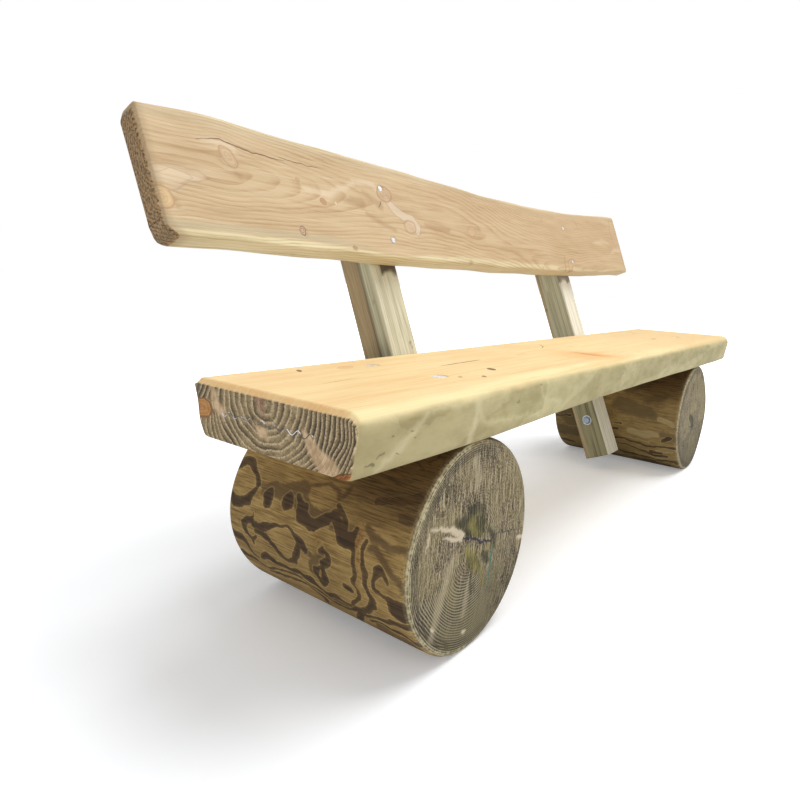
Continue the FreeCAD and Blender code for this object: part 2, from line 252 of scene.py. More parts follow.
def bar(tube, across):
    """Closed skin of a bar: a tube of rings, and a patch over each end.

    A patch lies between the four sides of its ring: the sum of the two ruled surfaces between
    opposite sides, less the flat one through the corners (a Coons patch).
    """
    rings, around = tube.shape[:2]
    deep = around // 2 - across
    numbers = np.arange(rings * around).reshape(rings, around)
    points = [tube.reshape(-1, 3)]
    faces = [quads(np.concatenate([numbers, numbers[:, :1]], 1))]
    count = rings * around
    s = np.linspace(0, 1, across + 1)[:, None, None]
    t = np.linspace(0, 1, deep + 1)[None, :, None]
    for ring, flip in ((0, False), (rings - 1, True)):
        edge, name = tube[ring], numbers[ring]
        top, front = np.arange(across + 1), across + np.arange(deep + 1)
        low = 2 * across + deep - np.arange(across + 1)
        rear = (2 * across + 2 * deep - np.arange(deep + 1)) % around
        patch = ((1 - t) * edge[top][:, None] + t * edge[low][:, None]
                 + (1 - s) * edge[rear][None] + s * edge[front][None]
                 - (1 - s) * (1 - t) * edge[top[0]] - s * (1 - t) * edge[top[-1]]
                 - (1 - s) * t * edge[low[0]] - s * t * edge[low[-1]])
        grid = np.empty((across + 1, deep + 1), int)
        inner = patch[1:-1, 1:-1]
        more = inner.shape[0] * inner.shape[1]
        grid[1:-1, 1:-1] = np.arange(count, count + more).reshape(inner.shape[:2])
        grid[:, 0], grid[:, -1], grid[0], grid[-1] = name[top], name[low], name[rear], name[front]
        count += more
        points.append(inner.reshape(-1, 3))
        faces.append(quads(grid[::-1] if flip else grid))
    return np.concatenate(points), np.concatenate(faces)


def drum(tube, heart, foot):
    """Closed skin from rings that shrink to one point at each end."""
    rings, around = tube.shape[:2]
    numbers = np.arange(rings * around).reshape(rings, around)
    numbers = np.concatenate([numbers, numbers[:, :1]], 1)
    count = rings * around
    points = np.concatenate([tube.reshape(-1, 3), [heart, foot]])
    caps = [np.stack([name[:-1], name[1:], np.full(around, tip)], -1)
            for name, tip in ((numbers[0], count), (numbers[-1], count + 1))]
    caps[0] = caps[0][:, ::-1]
    return points, quads(numbers), np.concatenate(caps)


def piece(name, node, points, *faces, slot, finish, masks=None):
    """Make the object of a skin, with its masks as point attributes, in place of a CAD node.

    The faces look outward: if the volume, the sum of the tetrahedra between the origin and each
    triangle, comes out negative, all of them are turned.
    """
    mesh = bpy.data.meshes.new(name)
    mesh.vertices.add(len(points))
    mesh.vertices.foreach_set("co", points.astype(np.float32).ravel())
    corners = np.concatenate([part.ravel() for part in faces])
    sizes = np.concatenate([np.full(len(part), part.shape[1]) for part in faces])
    starts = np.concatenate([[0], np.cumsum(sizes)[:-1]])
    mesh.loops.add(len(corners))
    mesh.loops.foreach_set("vertex_index", corners.astype(np.int32))
    mesh.polygons.add(len(sizes))
    mesh.polygons.foreach_set("loop_start", starts.astype(np.int32))
    mesh.update(calc_edges=True)
    mesh.validate()
    triangles = np.concatenate([part[:, [0, 1, 2]] for part in faces]
                               + [part[:, [0, 2, 3]] for part in faces if part.shape[1] == 4])
    a, b, c = (points[triangles[:, k]] for k in range(3))
    if (a * np.cross(b, c)).sum() < 0:
        mesh.flip_normals()
    for label, values in (masks or {}).items():
        layer = mesh.attributes.new(label, "FLOAT", "POINT")
        layer.data.foreach_set("value", np.asarray(values, np.float32).ravel())
    mesh.shade_smooth()
    thing = bpy.data.objects.new(name, mesh)
    bpy.context.scene.collection.objects.link(thing)
    mesh.materials.append(finish)
    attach(thing, "root")
    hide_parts(node)
    return thing


class Finish:
    """A material under construction, with short names for the nodes that it is built from."""

    def __init__(self, name):
        self.material = bpy.data.materials.new(name)
        self.material.use_nodes = True
        self.tree = self.material.node_tree
        self.tree.nodes.clear()
        self.output = self.tree.nodes.new("ShaderNodeOutputMaterial")
        self.surface = self.tree.nodes.new("ShaderNodeBsdfPrincipled")
        self.tree.links.new(self.surface.outputs[0], self.output.inputs[0])
        self.object_place = self.tree.nodes.new("ShaderNodeTexCoord").outputs["Object"]

    def put(self, socket, value):
        if isinstance(value, bpy.types.NodeSocket):
            self.tree.links.new(value, socket)
        elif hasattr(value, "__len__") and len(value) == 3 and len(socket.default_value) == 4:
            socket.default_value = (*value, 1.0)
        else:
            socket.default_value = value

    def mask(self, name):
        """A point attribute of the mesh."""
        node = self.tree.nodes.new("ShaderNodeAttribute")
        node.attribute_name = name
        return node.outputs["Fac"]

    def math(self, operation, first, second=0.0, third=0.0, clamp=False):
        node = self.tree.nodes.new("ShaderNodeMath")
        node.operation, node.use_clamp = operation, clamp
        for socket, value in zip(node.inputs, (first, second, third)):
            self.put(socket, value)
        return node.outputs[0]

    def times(self, first, second):
        return self.math("MULTIPLY", first, second)

    def band(self, value, low, high, bottom=0.0, top=1.0):
        """Smooth step of a value from low to high."""
        node = self.tree.nodes.new("ShaderNodeMapRange")
        node.interpolation_type = "SMOOTHSTEP"
        for name, given in (("Value", value), ("From Min", low), ("From Max", high),
                            ("To Min", bottom), ("To Max", top)):
            self.put(node.inputs[name], given)
        return node.outputs[0]

    def place(self, scale, turn=None):
        """Object coordinates, turned and then scaled."""
        place = self.object_place
        for name, value in (("Rotation", turn), ("Scale", scale)):
            if value:
                node = self.tree.nodes.new("ShaderNodeMapping")
                self.put(node.inputs["Vector"], place)
                node.inputs[name].default_value = value
                place = node.outputs[0]
        return place

    def vector(self, x, y, z=0.0):
        node = self.tree.nodes.new("ShaderNodeCombineXYZ")
        for socket, value in zip(node.inputs, (x, y, z)):
            self.put(socket, value)
        return node.outputs[0]

    def axis(self, vector, name):
        node = self.tree.nodes.new("ShaderNodeSeparateXYZ")
        self.put(node.inputs[0], vector)
        return node.outputs[name]

    def noise(self, vector, scale=1.0, detail=2.0, rough=0.5):
        node = self.tree.nodes.new("ShaderNodeTexNoise")
        self.put(node.inputs["Vector"], vector)
        for name, value in (("Scale", scale), ("Detail", detail), ("Roughness", rough)):
            node.inputs[name].default_value = value
        return node.outputs["Fac"]

    def cloud(self, stretch, detail=2.0, rough=0.5, turn=None):
        """Noise in object space, with its own scale along each axis."""
        return self.noise(self.place(stretch, turn), 1.0, detail, rough)

    def vectors(self, operation, first, second=(0.0, 0.0, 0.0), scale=None):
        node = self.tree.nodes.new("ShaderNodeVectorMath")
        node.operation = operation
        self.put(node.inputs[0], first)
        self.put(node.inputs[1], second)
        if scale is not None:
            self.put(node.inputs["Scale"], scale)
        return node.outputs["Value" if operation in ("DOT_PRODUCT", "DISTANCE", "LENGTH") else 0]

    def sheet(self, first, second, warp, reach, turn=None):
        """Two object axes as a flat drawing sheet, bent by up to half of warp in metres."""
        place = self.place(None, turn)
        flat = self.vector(self.axis(place, first), self.axis(place, second))
        node = self.tree.nodes.new("ShaderNodeTexNoise")
        self.put(node.inputs["Vector"], place)
        node.inputs["Scale"].default_value = reach
        bend = self.vectors("MULTIPLY", self.vectors("SUBTRACT", node.outputs["Color"], (0.5,) * 3),
                            (warp, warp, 0.0))
        return self.vectors("ADD", flat, bend)

    def drawn(self, sheet, table):
        """Depth in millimetres inside drawn strokes, rows of (u, v, half width) in millimetres.

        It is the half width, which runs straight from one point of a stroke to the next, less the
        distance to the line between them.
        """
        best = None
        for line in table:
            for (u0, v0, w0), (u1, v1, w1) in zip(line, line[1:]):
                way = Vector((u1 - u0, v1 - v0, 0.0))
                away = self.vectors("SUBTRACT", sheet, (u0, v0, 0.0))
                dot = self.vectors("DOT_PRODUCT", away, tuple(way / way.length_squared))
                share = self.math("MAXIMUM", self.math("MINIMUM", dot, 1.0), 0.0)
                gap = self.vectors("DISTANCE", away, self.vectors("SCALE", tuple(way), scale=share))
                depth = self.math("SUBTRACT", self.math("MULTIPLY_ADD", share, w1 - w0, w0), gap)
                best = depth if best is None else self.math("MAXIMUM", best, depth)
        return best

    def strokes(self, base, sheet, table, low, high, share, colour):
        """Paint strokes that fade in from low to high, the depths in millimetres inside them."""
        return self.blend(self.band(self.drawn(sheet, table), low, high, 0.0, share), base, colour)

    def oval(self, sheet, row):
        """Distance from the middle of a turned oval in shares of its half axes (millimetres)."""
        node = self.tree.nodes.new("ShaderNodeMapping")
        node.vector_type = "TEXTURE"
        self.put(node.inputs["Vector"], sheet)
        node.inputs["Location"].default_value = (row[0], row[1], 0.0)
        node.inputs["Rotation"].default_value = (0.0, 0.0, math.radians(row[4]))
        node.inputs["Scale"].default_value = (row[2], row[3], 1.0)
        return self.vectors("LENGTH", node.outputs[0])

    def knots(self, base, sheet, table):
        """Draw knots: an even middle tone, rings of a second tone and a thin rim of the third."""
        for *row, share, rings, inner, line, rim in table:
            off = self.oval(sheet, row)
            base = self.blend(self.band(off, 1.15, 0.9, 0.0, share), base, inner)
            turns = self.math("FRACT", self.times(off, rings))
            turns = self.times(self.band(turns, 0.45, 0.9), self.band(off, 1.1, 0.95))
            base = self.blend(self.times(turns, 0.7 * share), base, line)
            edge = self.band(self.math("ABSOLUTE", self.math("SUBTRACT", off, 1.03)), 0.16, 0.04)
            base = self.blend(self.times(edge, share), base, rim)
        return base

    def ramp(self, value, stops):
        """Grey ramp through (place, height) stops."""
        node = self.tree.nodes.new("ShaderNodeValToRGB")
        node.color_ramp.elements[0].position, node.color_ramp.elements[1].position = 0.0, 1.0
        for place, height in stops:
            if place in (0.0, 1.0):
                element = node.color_ramp.elements[0 if place == 0.0 else -1]
            else:
                element = node.color_ramp.elements.new(place)
            element.color = (height, height, height, 1.0)
        self.put(node.inputs[0], value)
        return node.outputs[0]

    def blend(self, share, first, second):
        node = self.tree.nodes.new("ShaderNodeMix")
        node.data_type, node.blend_type = "RGBA", "MIX"
        node.clamp_factor = True
        self.put(node.inputs[0], share)
        self.put(node.inputs[6], first)
        self.put(node.inputs[7], second)
        return node.outputs[2]

    def close(self, base, rough, height=None, distance=0.001, strength=0.6, shine=0.35):
        """Wire the base colour, roughness and bump to the surface."""
        self.put(self.surface.inputs["Base Color"], base)
        self.put(self.surface.inputs["Roughness"], rough)
        self.surface.inputs["Specular IOR Level"].default_value = shine
        if height is not None:
            node = self.tree.nodes.new("ShaderNodeBump")
            node.inputs["Strength"].default_value = strength
            node.inputs["Distance"].default_value = distance
            self.put(node.inputs["Height"], height)
            self.tree.links.new(node.outputs[0], self.surface.inputs["Normal"])
        return self.material


def late_wood(finish, rings, wander=0.12, scale=30.0):
    """Growth rings: pale early wood that darkens to a sharp line, repeated for each whole ring."""
    sway = finish.cloud((scale, scale, scale), 1.0)
    shifted = finish.math("MULTIPLY_ADD", sway, wander * 2, rings)
    share = finish.math("FRACT", shifted)
    return finish.ramp(share, ((0.0, 0.05), (0.45, 0.12), (0.8, 0.8), (0.92, 1.0), (1.0, 0.1)))


# Strokes drawn on the seat: (place along, place across, half width) in millimetres.
SEAT_CHECKS = (((-572, -94, 0.2), (-545, -94.5, 1.8), (-500, -93, 2.2), (-450, -92.5, 2.4),
                (-432, -92, 1.6), (-420, -92, 0.2)),
               ((-872, -99, 0.1), (-845, -98, 0.6), (-790, -95, 0.1)),
               ((-280, -94, 0.1), (-245, -93, 0.9), (-212, -94, 0.1)),
               ((-5, -92, 0.2), (40, -90, 0.9), (85, -92, 0.2)),
               ((-84, -150, 0.4), (-92, -185, 2.0), (-98, -215, 2.4), (-104, -245, 0.6)),
               ((-82, -62, 0.3), (-40, -44, 1.2), (2, -10, 0.4)))
# Knots drawn on a face, in millimetres: middle, half axes and turn, then the share of paint, the
# number of rings, and the tones of the middle, the rings and the rim.
SEAT_KNOTS = ((-820, 18, 10, 4, 60, 0.95, 2.0, tone(130, 92, 48), tone(92, 62, 32),
               tone(160, 112, 62)),
              (-518, -181, 13, 7, 50, 0.95, 2.0, tone(132, 100, 60), tone(70, 52, 32),
               tone(120, 90, 52)),
              (-605, -220, 8, 4, 40, 0.8, 1.5, tone(150, 108, 62), tone(90, 62, 36),
               tone(170, 124, 74)),
              (-645, -197, 9, 3.5, 40, 0.5, 1.5, tone(176, 132, 84), tone(140, 100, 62),
               tone(190, 144, 92)),
              (-728, 0, 20, 11, 20, 0.3, 2.0, tone(214, 160, 110), tone(190, 134, 92),
               tone(206, 156, 108)),
              (560, -150, 14, 7, 0, 0.6, 2.0, tone(170, 124, 76), tone(130, 92, 52),
               tone(186, 136, 84)))
SEAT_END_PALE = (((-188, 412, 4), (-204, 394, 9), (-214, 382, 13), (-238, 370, 17)),
                 ((-84, 404, 3), (-100, 393, 7), (-112, 388, 4)),
                 ((18, 446, 3), (12, 425, 8), (0, 410, 9), (-10, 404, 5)))
SEAT_END_HEART = (((-88, 446, 9), (-98, 432, 8), (-106, 416, 2)),)
SEAT_END_KNOTS = ((46, 406, 27, 14.5, 0, 1.0, 2.6, tone(204, 150, 92), tone(178, 122, 68),
                   tone(150, 110, 72)),
                  (-272, 365, 30, 8, -14, 1.0, 1.6, tone(160, 104, 56), tone(126, 78, 38),
                   tone(110, 76, 44)))
FRONT_VEINS = (((-734, 366, 7), (-726, 392, 5), (-717, 418, 6), (-720, 436, 8)),
               ((-940, 368, 2), (-905, 388, 5), (-872, 408, 4), (-846, 430, 3)),
               ((-965, 437, 1.0), (-925, 435, 1.8), (-895, 437, 1.0), (-862, 441, 1.6),
                (-835, 433, 1.2), (-800, 436, 1.8), (-770, 431, 1.0), (-735, 438, 1.8),
                (-690, 437, 1.0)),
               ((-712, 428, 0.4), (-707, 402, 1.0), (-690, 391, 1.2), (-640, 388, 0.8),
                (-570, 383, 1.2), (-505, 378, 0.4)),
               ((-500, 432, 0.4), (-488, 408, 1.2), (-462, 396, 1.0), (-400, 388, 0.4)))
FRONT_PITS = (((-592, 411, 1.2), (-584, 411, 1.8)), ((-871, 399, 1.2), (-868, 399, 1.2)),
              ((-944, 386, 1.0), (-930, 391, 1.8)), ((-962, 379, 1.0), (-948, 377, 2.6)),
              ((-922, 411, 1.5), (-918, 411, 1.5)), ((-905, 384, 1.2), (-900, 384, 1.2)),
              ((-880, 412, 1.2), (-876, 411, 1.2)), ((-502, 430, 1.2), (-496, 430, 1.2)))


def seat_finish(look):
    finish = Finish("seat_wood")
    rings, end, hewn = finish.mask("rings"), finish.mask("end"), finish.mask("hewn")
    # Top: fine fibres and broad strands of warmer wood.
    late = late_wood(finish, rings)
    fibres = finish.cloud((9.0, 280.0, 280.0), 4.0, 0.7)
    strand = finish.cloud((2.4, 48.0, 48.0), 3.0, 0.6)
    cloud = finish.cloud((4.0, 9.0, 9.0), 2.0)
    share = finish.math("MULTIPLY_ADD", late, 0.25, finish.band(strand, 0.42, 0.68, 0.0, 0.45))
    share = finish.math("ADD", share, finish.band(cloud, 0.4, 0.75, 0.0, 0.35))
    share = finish.math("ADD", share, finish.band(fibres, 0.5, 0.72, 0.0, 0.6), clamp=True)
    base = finish.blend(share, look.seat_light, look.seat_dark)
    base = finish.blend(finish.band(fibres, 0.45, 0.3, 0.0, 0.6), base, tone(252, 232, 184))
    base = finish.blend(finish.times(finish.mask("warm"), 0.85), base,
                        tone(226, 158, 84))
    base = finish.blend(finish.times(finish.mask("sap"), finish.band(
        strand, 0.35, 0.6, 0.7, 0.25)), base, tone(244, 228, 174))
    sheet = finish.vectors("SCALE", finish.sheet("X", "Y", 0.004, 40.0), scale=1000.0)
    # Darker towards the right end: painted shade that evens out the main lamp's stronger light
    # there.
    far = finish.band(finish.axis(finish.object_place, "X"), 0.0, 0.8, 0.0, 0.6)
    base = finish.blend(far, base, tone(214, 182, 128))
    top = finish.band(finish.axis(finish.object_place, "Z"), 0.444, 0.448)
    marked = finish.knots(base, sheet, SEAT_KNOTS)
    marked = finish.strokes(marked, sheet, SEAT_CHECKS, -0.6, 0.5, 0.95, tone(104, 76, 46))
    base = finish.blend(top, base, marked)
    # Peeled front face: calm plateaus with a faint pale line along their borders.
    torn = finish.cloud((60.0, 60.0, 60.0), 3.0, 0.6)
    plate = finish.math("MULTIPLY_ADD", finish.math("SUBTRACT", torn, 0.5), 1.4,
                        finish.mask("plate"))
    blotch = finish.cloud((14.0, 14.0, 30.0), 4.0, 0.65)
    rim = finish.band(finish.math("ABSOLUTE", plate), 0.2, 0.02)
    tier = finish.math("ADD", finish.band(plate, -0.35, 0.25, 0.0, 0.45),
                       finish.band(blotch, 0.35, 0.7, -0.05, 0.5), clamp=True)
    peeled = finish.blend(tier, look.edge_light, look.edge_dark)
    peeled = finish.blend(finish.times(rim, 0.16), peeled, tone(220, 208, 164))
    near = finish.band(finish.axis(finish.object_place, "X"), -0.5, -0.95, 0.0, 0.35)
    peeled = finish.blend(near, peeled, tone(150, 130, 88))
    side = finish.vectors("SCALE", finish.sheet("X", "Z", 0.014, 70.0), scale=1000.0)
    peeled = finish.strokes(peeled, side, FRONT_VEINS, -9.0, 6.0, 0.42, tone(222, 210, 168))
    peeled = finish.strokes(peeled, side, FRONT_PITS, -1.5, 2.0, 0.75, tone(92, 86, 56))
    base = finish.blend(hewn, base, peeled)
    # Weathered end grain: a pale ridge at each ring, and dark early wood beside it.
    grit = finish.cloud((330.0, 330.0, 330.0), 3.0, 0.75)
    ray = finish.cloud((60.0, 60.0, 60.0), 3.0, 0.65)
    wobble = finish.cloud((1.0, 90.0, 90.0), 3.0, 0.7)
    sway = finish.math("MULTIPLY_ADD", finish.math("SUBTRACT", wobble, 0.5), 0.5, rings)
    year = finish.noise(finish.vector(finish.math("FLOOR", sway), 0.0), 1.7, 0.0)
    patch = finish.cloud((1.0, 16.0, 16.0), 3.0, 0.6)
    rear, level = finish.axis(finish.object_place, "Y"), finish.axis(finish.object_place, "Z")
    ahead = finish.band(rear, -0.175, -0.235)
    above = finish.times(finish.band(rear, -0.02, 0.015), finish.band(level, 0.418, 0.428))
    strong = finish.math("MAXIMUM", ahead, above)
    ridge = finish.ramp(finish.math("FRACT", sway), ((0.0, 0.8), (0.07, 1.0), (0.22, 0.25),
                                                     (0.36, 0.0), (0.84, 0.0), (1.0, 0.75)))
    edge = finish.ramp(finish.math("FRACT", sway), ((0.0, 0.0), (0.34, 0.1), (0.62, 0.65),
                                                    (0.84, 1.0), (0.96, 0.2), (1.0, 0.0)))
    amount = finish.math("ADD", finish.band(year, 0.3, 0.7, 0.15, 0.6),
                         finish.band(patch, 0.4, 0.65, -0.05, 0.4))
    amount = finish.math("MULTIPLY_ADD", strong, 0.6, amount, clamp=True)
    ends = finish.blend(finish.band(ray, 0.3, 0.7), look.end_light, look.end_mid)
    ends = finish.blend(finish.band(patch, 0.35, 0.7, 0.0, 0.5), ends, tone(116, 100, 76))
    ends = finish.blend(finish.times(edge, amount), ends, look.end_dark)
    ends = finish.blend(finish.times(ridge, finish.band(grit, 0.35, 0.65, 1.0, 0.5)),
                        ends, tone(232, 208, 166))
    ends = finish.blend(finish.band(grit, 0.52, 0.66, 0.0, 0.75), ends, tone(60, 48, 34))
    cut = finish.vectors("SCALE", finish.sheet("Y", "Z", 0.010, 70.0), scale=1000.0)
    ends = finish.strokes(ends, cut, SEAT_END_PALE, -4.0, 4.0, 0.8, finish.blend(
        finish.band(ray, 0.35, 0.65), tone(238, 206, 164), tone(202, 168, 128)))
    ends = finish.strokes(ends, cut, SEAT_END_HEART, -2.0, 2.5, 0.7, finish.blend(
        finish.band(grit, 0.4, 0.6), tone(188, 144, 120), tone(140, 108, 88)))
    ends = finish.knots(ends, cut, SEAT_END_KNOTS)
    corner = finish.times(finish.band(rear, 0.045, 0.058), 0.55)
    ends = finish.blend(corner, ends, tone(112, 104, 96))
    base = finish.blend(end, base, ends)
    rough = finish.math("MULTIPLY_ADD", end, 0.2, 0.62)
    height = finish.math("MULTIPLY_ADD", late, -0.2, finish.times(fibres, 0.5))
    height = finish.math("MULTIPLY_ADD", finish.times(rim, hewn), 0.3, height)
    relief = finish.math("MULTIPLY_ADD", ridge, 1.2, grit)
    height = finish.math("MULTIPLY_ADD", relief, end, height)
    return finish.close(base, rough, height, 0.0014, 0.6, 0.3)


BACK_CRACKS = (((-915, 386.5, 0.2), (-893, 391.5, 0.6), (-868, 398, 1.0), (-853, 394, 1.3),
                (-835, 388.5, 1.2), (-805, 385, 1.1), (-765, 382.5, 0.9), (-735, 381.5, 0.2)),
               ((-748, 387, 0.2), (-720, 386.5, 0.7), (-680, 384.5, 0.8), (-648, 383, 0.2)),
               ((-498, 322, 0.3), (-488, 329, 1.6), (-484, 337, 0.3)),
               ((404, 268, 0.5), (392, 238, 1.6), (378, 202, 0.8)),
               ((930, 452, 0.8), (905, 400, 1.0), (908, 352, 0.8), (925, 320, 0.4)),
               ((560, 415, 0.3), (580, 400, 1.0), (585, 380, 0.3)))
BACK_FLAMES = (((-1010, 322, 0.8), (-985, 331, 0.9), (-955, 331, 0.9), (-925, 327, 0.9),
                (-907, 318, 0.6), (-925, 310, 0.8), (-948, 304, 1.0), (-965, 292, 1.2),
                (-985, 284, 0.8)),
               ((-1000, 313, 0.5), (-975, 323, 0.6), (-950, 321, 0.6), (-938, 313, 0.5),
                (-960, 300, 0.6)))
BACK_PALES = (((-905, 388, 1), (-885, 390, 4), (-862, 390, 6), (-845, 382, 4)),
              ((-1005, 310, 12), (-975, 311, 13), (-945, 314, 8), (-920, 318, 3)),
              ((-700, 334, 4), (-640, 330, 8), (-560, 366, 5)), ((-560, 372, 4), (-500, 372, 8),
                                                               (-486, 360, 5)),
              ((840, 300, 3), (900, 318, 9), (960, 322, 6)), ((700, 335, 3), (790, 350, 7),
                                                            (850, 345, 4)))
BACK_BAND = (((-466, 344, 6), (-452, 329, 8), (-436, 317, 10), (-410, 308, 12), (-388, 302, 13),
              (-375, 290, 11), (-380, 275, 8)),)
BACK_TANS = (((-600, 323, 2), (-575, 326, 9), (-550, 322, 12)), ((-536, 350, 2), (-505, 336, 8),
                                                               (-490, 325, 9)),
             ((-540, 300, 4), (-500, 284, 6), (-460, 272, 4)), ((-340, 296, 4), (-300, 290, 10),
                                                              (-250, 292, 6)),
             ((-375, 274, 2.5), (-372, 276, 2)), ((-980, 268, 1.5), (-974, 262, 3)),
             ((-984, 272, 1), (-975, 271, 1.5)), ((-851, 336, 5), (-846, 333, 5)),
             ((-726, 236, 1.5), (-721, 240, 1)), ((300, 378, 2), (305, 378, 3)),
             ((-190, 210, 3), (-182, 212, 5)), ((215, 215, 2), (220, 215, 2)))
WOOD, LINE, RIM = tone(208, 180, 144), tone(182, 148, 112), tone(174, 138, 104)
BACK_MARKS = ((-861, 366, 13, 19, 33, 0.65, 2.3, WOOD, LINE, RIM),
              (-997, 272, 18, 18, 0, 0.8, 3.4, tone(228, 198, 152), tone(206, 168, 120),
               tone(190, 152, 112)),
              (-467, 356, 23, 19, 15, 0.65, 3.0, tone(198, 168, 138), LINE, RIM),
              (-402, 285, 19, 16, 10, 0.65, 3.4, tone(214, 188, 158), LINE, RIM),
              (-661, 312, 8, 6.5, 0, 0.9, 2.0, tone(188, 150, 112), tone(156, 114, 80), LINE),
              (-626, 312, 4, 4, 0, 0.7, 1.0, tone(232, 208, 174), WOOD, LINE),
              (-731, 244, 7, 8.5, 0, 0.9, 1.5, tone(206, 178, 150), tone(110, 78, 54),
               tone(104, 76, 54)),
              (-603, 219, 7, 5, 0, 0.7, 1.5, tone(172, 136, 104), RIM, LINE),
              (-715, 349, 6, 5, 0, 0.5, 1.5, tone(186, 154, 120), RIM, LINE),
              (-140, 300, 17, 13, 20, 0.7, 2.6, tone(212, 182, 144), LINE, LINE),
              (430, 232, 30, 13, 50, 0.75, 2.2, tone(214, 184, 144), LINE, RIM),
              (645, 400, 11, 8, 0, 0.6, 2.0, WOOD, LINE, LINE))


def back_finish(look):
    finish = Finish("back_wood")
    late = late_wood(finish, finish.mask("rings"), 0.1)
    fibres = finish.cloud((9.0, 260.0, 260.0), 4.0, 0.7)
    strand = finish.cloud((2.4, 44.0, 44.0), 3.0, 0.6)
    cloud = finish.cloud((5.0, 14.0, 14.0), 2.0)
    share = finish.times(late, finish.band(strand, 0.35, 0.65, 0.25, 0.8))
    share = finish.math("ADD", share, finish.band(fibres, 0.5, 0.72, 0.0, 0.55))
    share = finish.math("ADD", share, finish.band(cloud, 0.35, 0.8, 0.0, 0.4), clamp=True)
    base = finish.blend(share, look.back_light, look.back_dark)
    base = finish.blend(finish.band(fibres, 0.45, 0.3, 0.0, 0.5), base, tone(230, 208, 172))
    sheet = finish.sheet("X", "Z", 0.010, 32.0, LEANING)
    sheet = finish.vectors("SCALE", finish.vectors("SUBTRACT", sheet, (0.0, UP_ZERO, 0.0)),
                           scale=1000.0)
    base = finish.blend(finish.times(finish.mask("tinge"), 0.55), base,
                        tone(188, 178, 148))
    sap = finish.blend(share, tone(236, 222, 182), tone(194, 176, 134))
    base = finish.blend(finish.mask("sap"), base, sap)
    marked = finish.strokes(base, sheet, BACK_PALES, -6.0, 6.0, 0.5, tone(232, 212, 182))
    marked = finish.strokes(marked, sheet, BACK_TANS, -7.0, 6.0, 0.5, tone(164, 130, 94))
    marked = finish.strokes(marked, sheet, BACK_FLAMES, -1.5, 1.0, 0.4, tone(164, 136, 124))
    band = finish.drawn(sheet, BACK_BAND)
    marked = finish.blend(finish.band(band, -5.0, 3.0, 0.0, 0.7), marked, tone(222, 204, 178))
    line = finish.times(finish.band(band, -3.2, -1.6), finish.band(band, 0.4, -1.2))
    marked = finish.blend(finish.times(line, 0.5), marked, tone(160, 134, 122))
    marked = finish.knots(marked, sheet, BACK_MARKS)
    cracks = finish.band(finish.drawn(sheet, BACK_CRACKS), -0.6, 0.5)
    marked = finish.blend(finish.times(cracks, 0.85), marked, tone(110, 82, 62))
    base = finish.blend(finish.mask("front"), base, marked)
    # Darker towards the right end: painted shade that evens out the main lamp's stronger light
    # there.
    far = finish.band(finish.axis(finish.object_place, "X"), -0.7, 0.7, 0.04, 0.42)
    base = finish.blend(far, base, tone(184, 152, 112))
    # Weathered ends, which fray over the edge of the face.
    grit = finish.cloud((260.0, 260.0, 260.0), 3.0, 0.7)
    fray = finish.cloud((40.0, 120.0, 120.0), 3.0, 0.7)
    ends = finish.blend(finish.math("MULTIPLY_ADD", late, 0.45, finish.band(
        grit, 0.44, 0.58, 0.0, 0.6)), tone(180, 146, 102), tone(80, 62, 42))
    off = finish.math("MULTIPLY_ADD", finish.math("SUBTRACT", fray, 0.5), 9.0, finish.mask("off"))
    base = finish.blend(finish.band(off, 22.0, 3.0, 0.0, 0.45), base, tone(150, 122, 88))
    end = finish.band(off, 3.2, 0.8)
    ends = finish.blend(finish.band(finish.mask("low"), 24.0, 6.0, 0.0, 0.65), ends,
                        tone(96, 88, 68))
    base = finish.blend(end, base, ends)
    height = finish.math("MULTIPLY_ADD", late, -0.3, finish.times(fibres, 0.6))
    height = finish.math("MULTIPLY_ADD", finish.times(grit, end), 0.8, height)
    height = finish.math("MULTIPLY_ADD", cracks, -1.0, height)
    return finish.close(base, 0.66, height, 0.0012, 0.55, 0.3)


def post_finish(look):
    finish = Finish("post_wood")
    late = late_wood(finish, finish.mask("rings"), 0.1)
    fibres = finish.cloud((300.0, 300.0, 9.0), 4.0, 0.7, LEANING)
    strand = finish.cloud((90.0, 90.0, 2.5), 3.0, 0.6, LEANING)
    share = finish.times(late, finish.band(fibres, 0.25, 0.75, 0.2, 0.6))
    share = finish.math("ADD", share, finish.band(strand, 0.42, 0.62, 0.0, 0.45))
    share = finish.math("ADD", share, finish.band(fibres, 0.5, 0.7, 0.0, 0.4), clamp=True)
    sapwood = finish.blend(finish.times(share, 0.8), look.post_light,
                           tone(156, 150, 116))
    heartwood = finish.blend(share, tone(184, 162, 122), look.post_dark)
    base = finish.blend(finish.mask("heart"), sapwood, heartwood)
    # Front faces: pale wood, lifted towards near white as painted light where the front is lit.
    pale_and_lit_front = finish.blend(finish.times(share, 0.75), tone(250, 246, 230),
                        tone(172, 168, 146))
    base = finish.blend(finish.mask("pale_and_lit_front"), base, pale_and_lit_front)
    base = finish.blend(finish.mask("shade"), base, finish.blend(
        finish.band(strand, 0.42, 0.56), tone(136, 128, 88), tone(72, 66, 38)))
    # The dark mask: dark spots, a dark line between the side's two tones, and painted shadow under
    # the back plank on the front faces.
    base = finish.blend(finish.mask("dark"), base, tone(70, 54, 36))
    height = finish.math("MULTIPLY_ADD", late, -0.4, finish.times(fibres, 0.6))
    return finish.close(base, 0.68, height, 0.001, 0.5, 0.3)


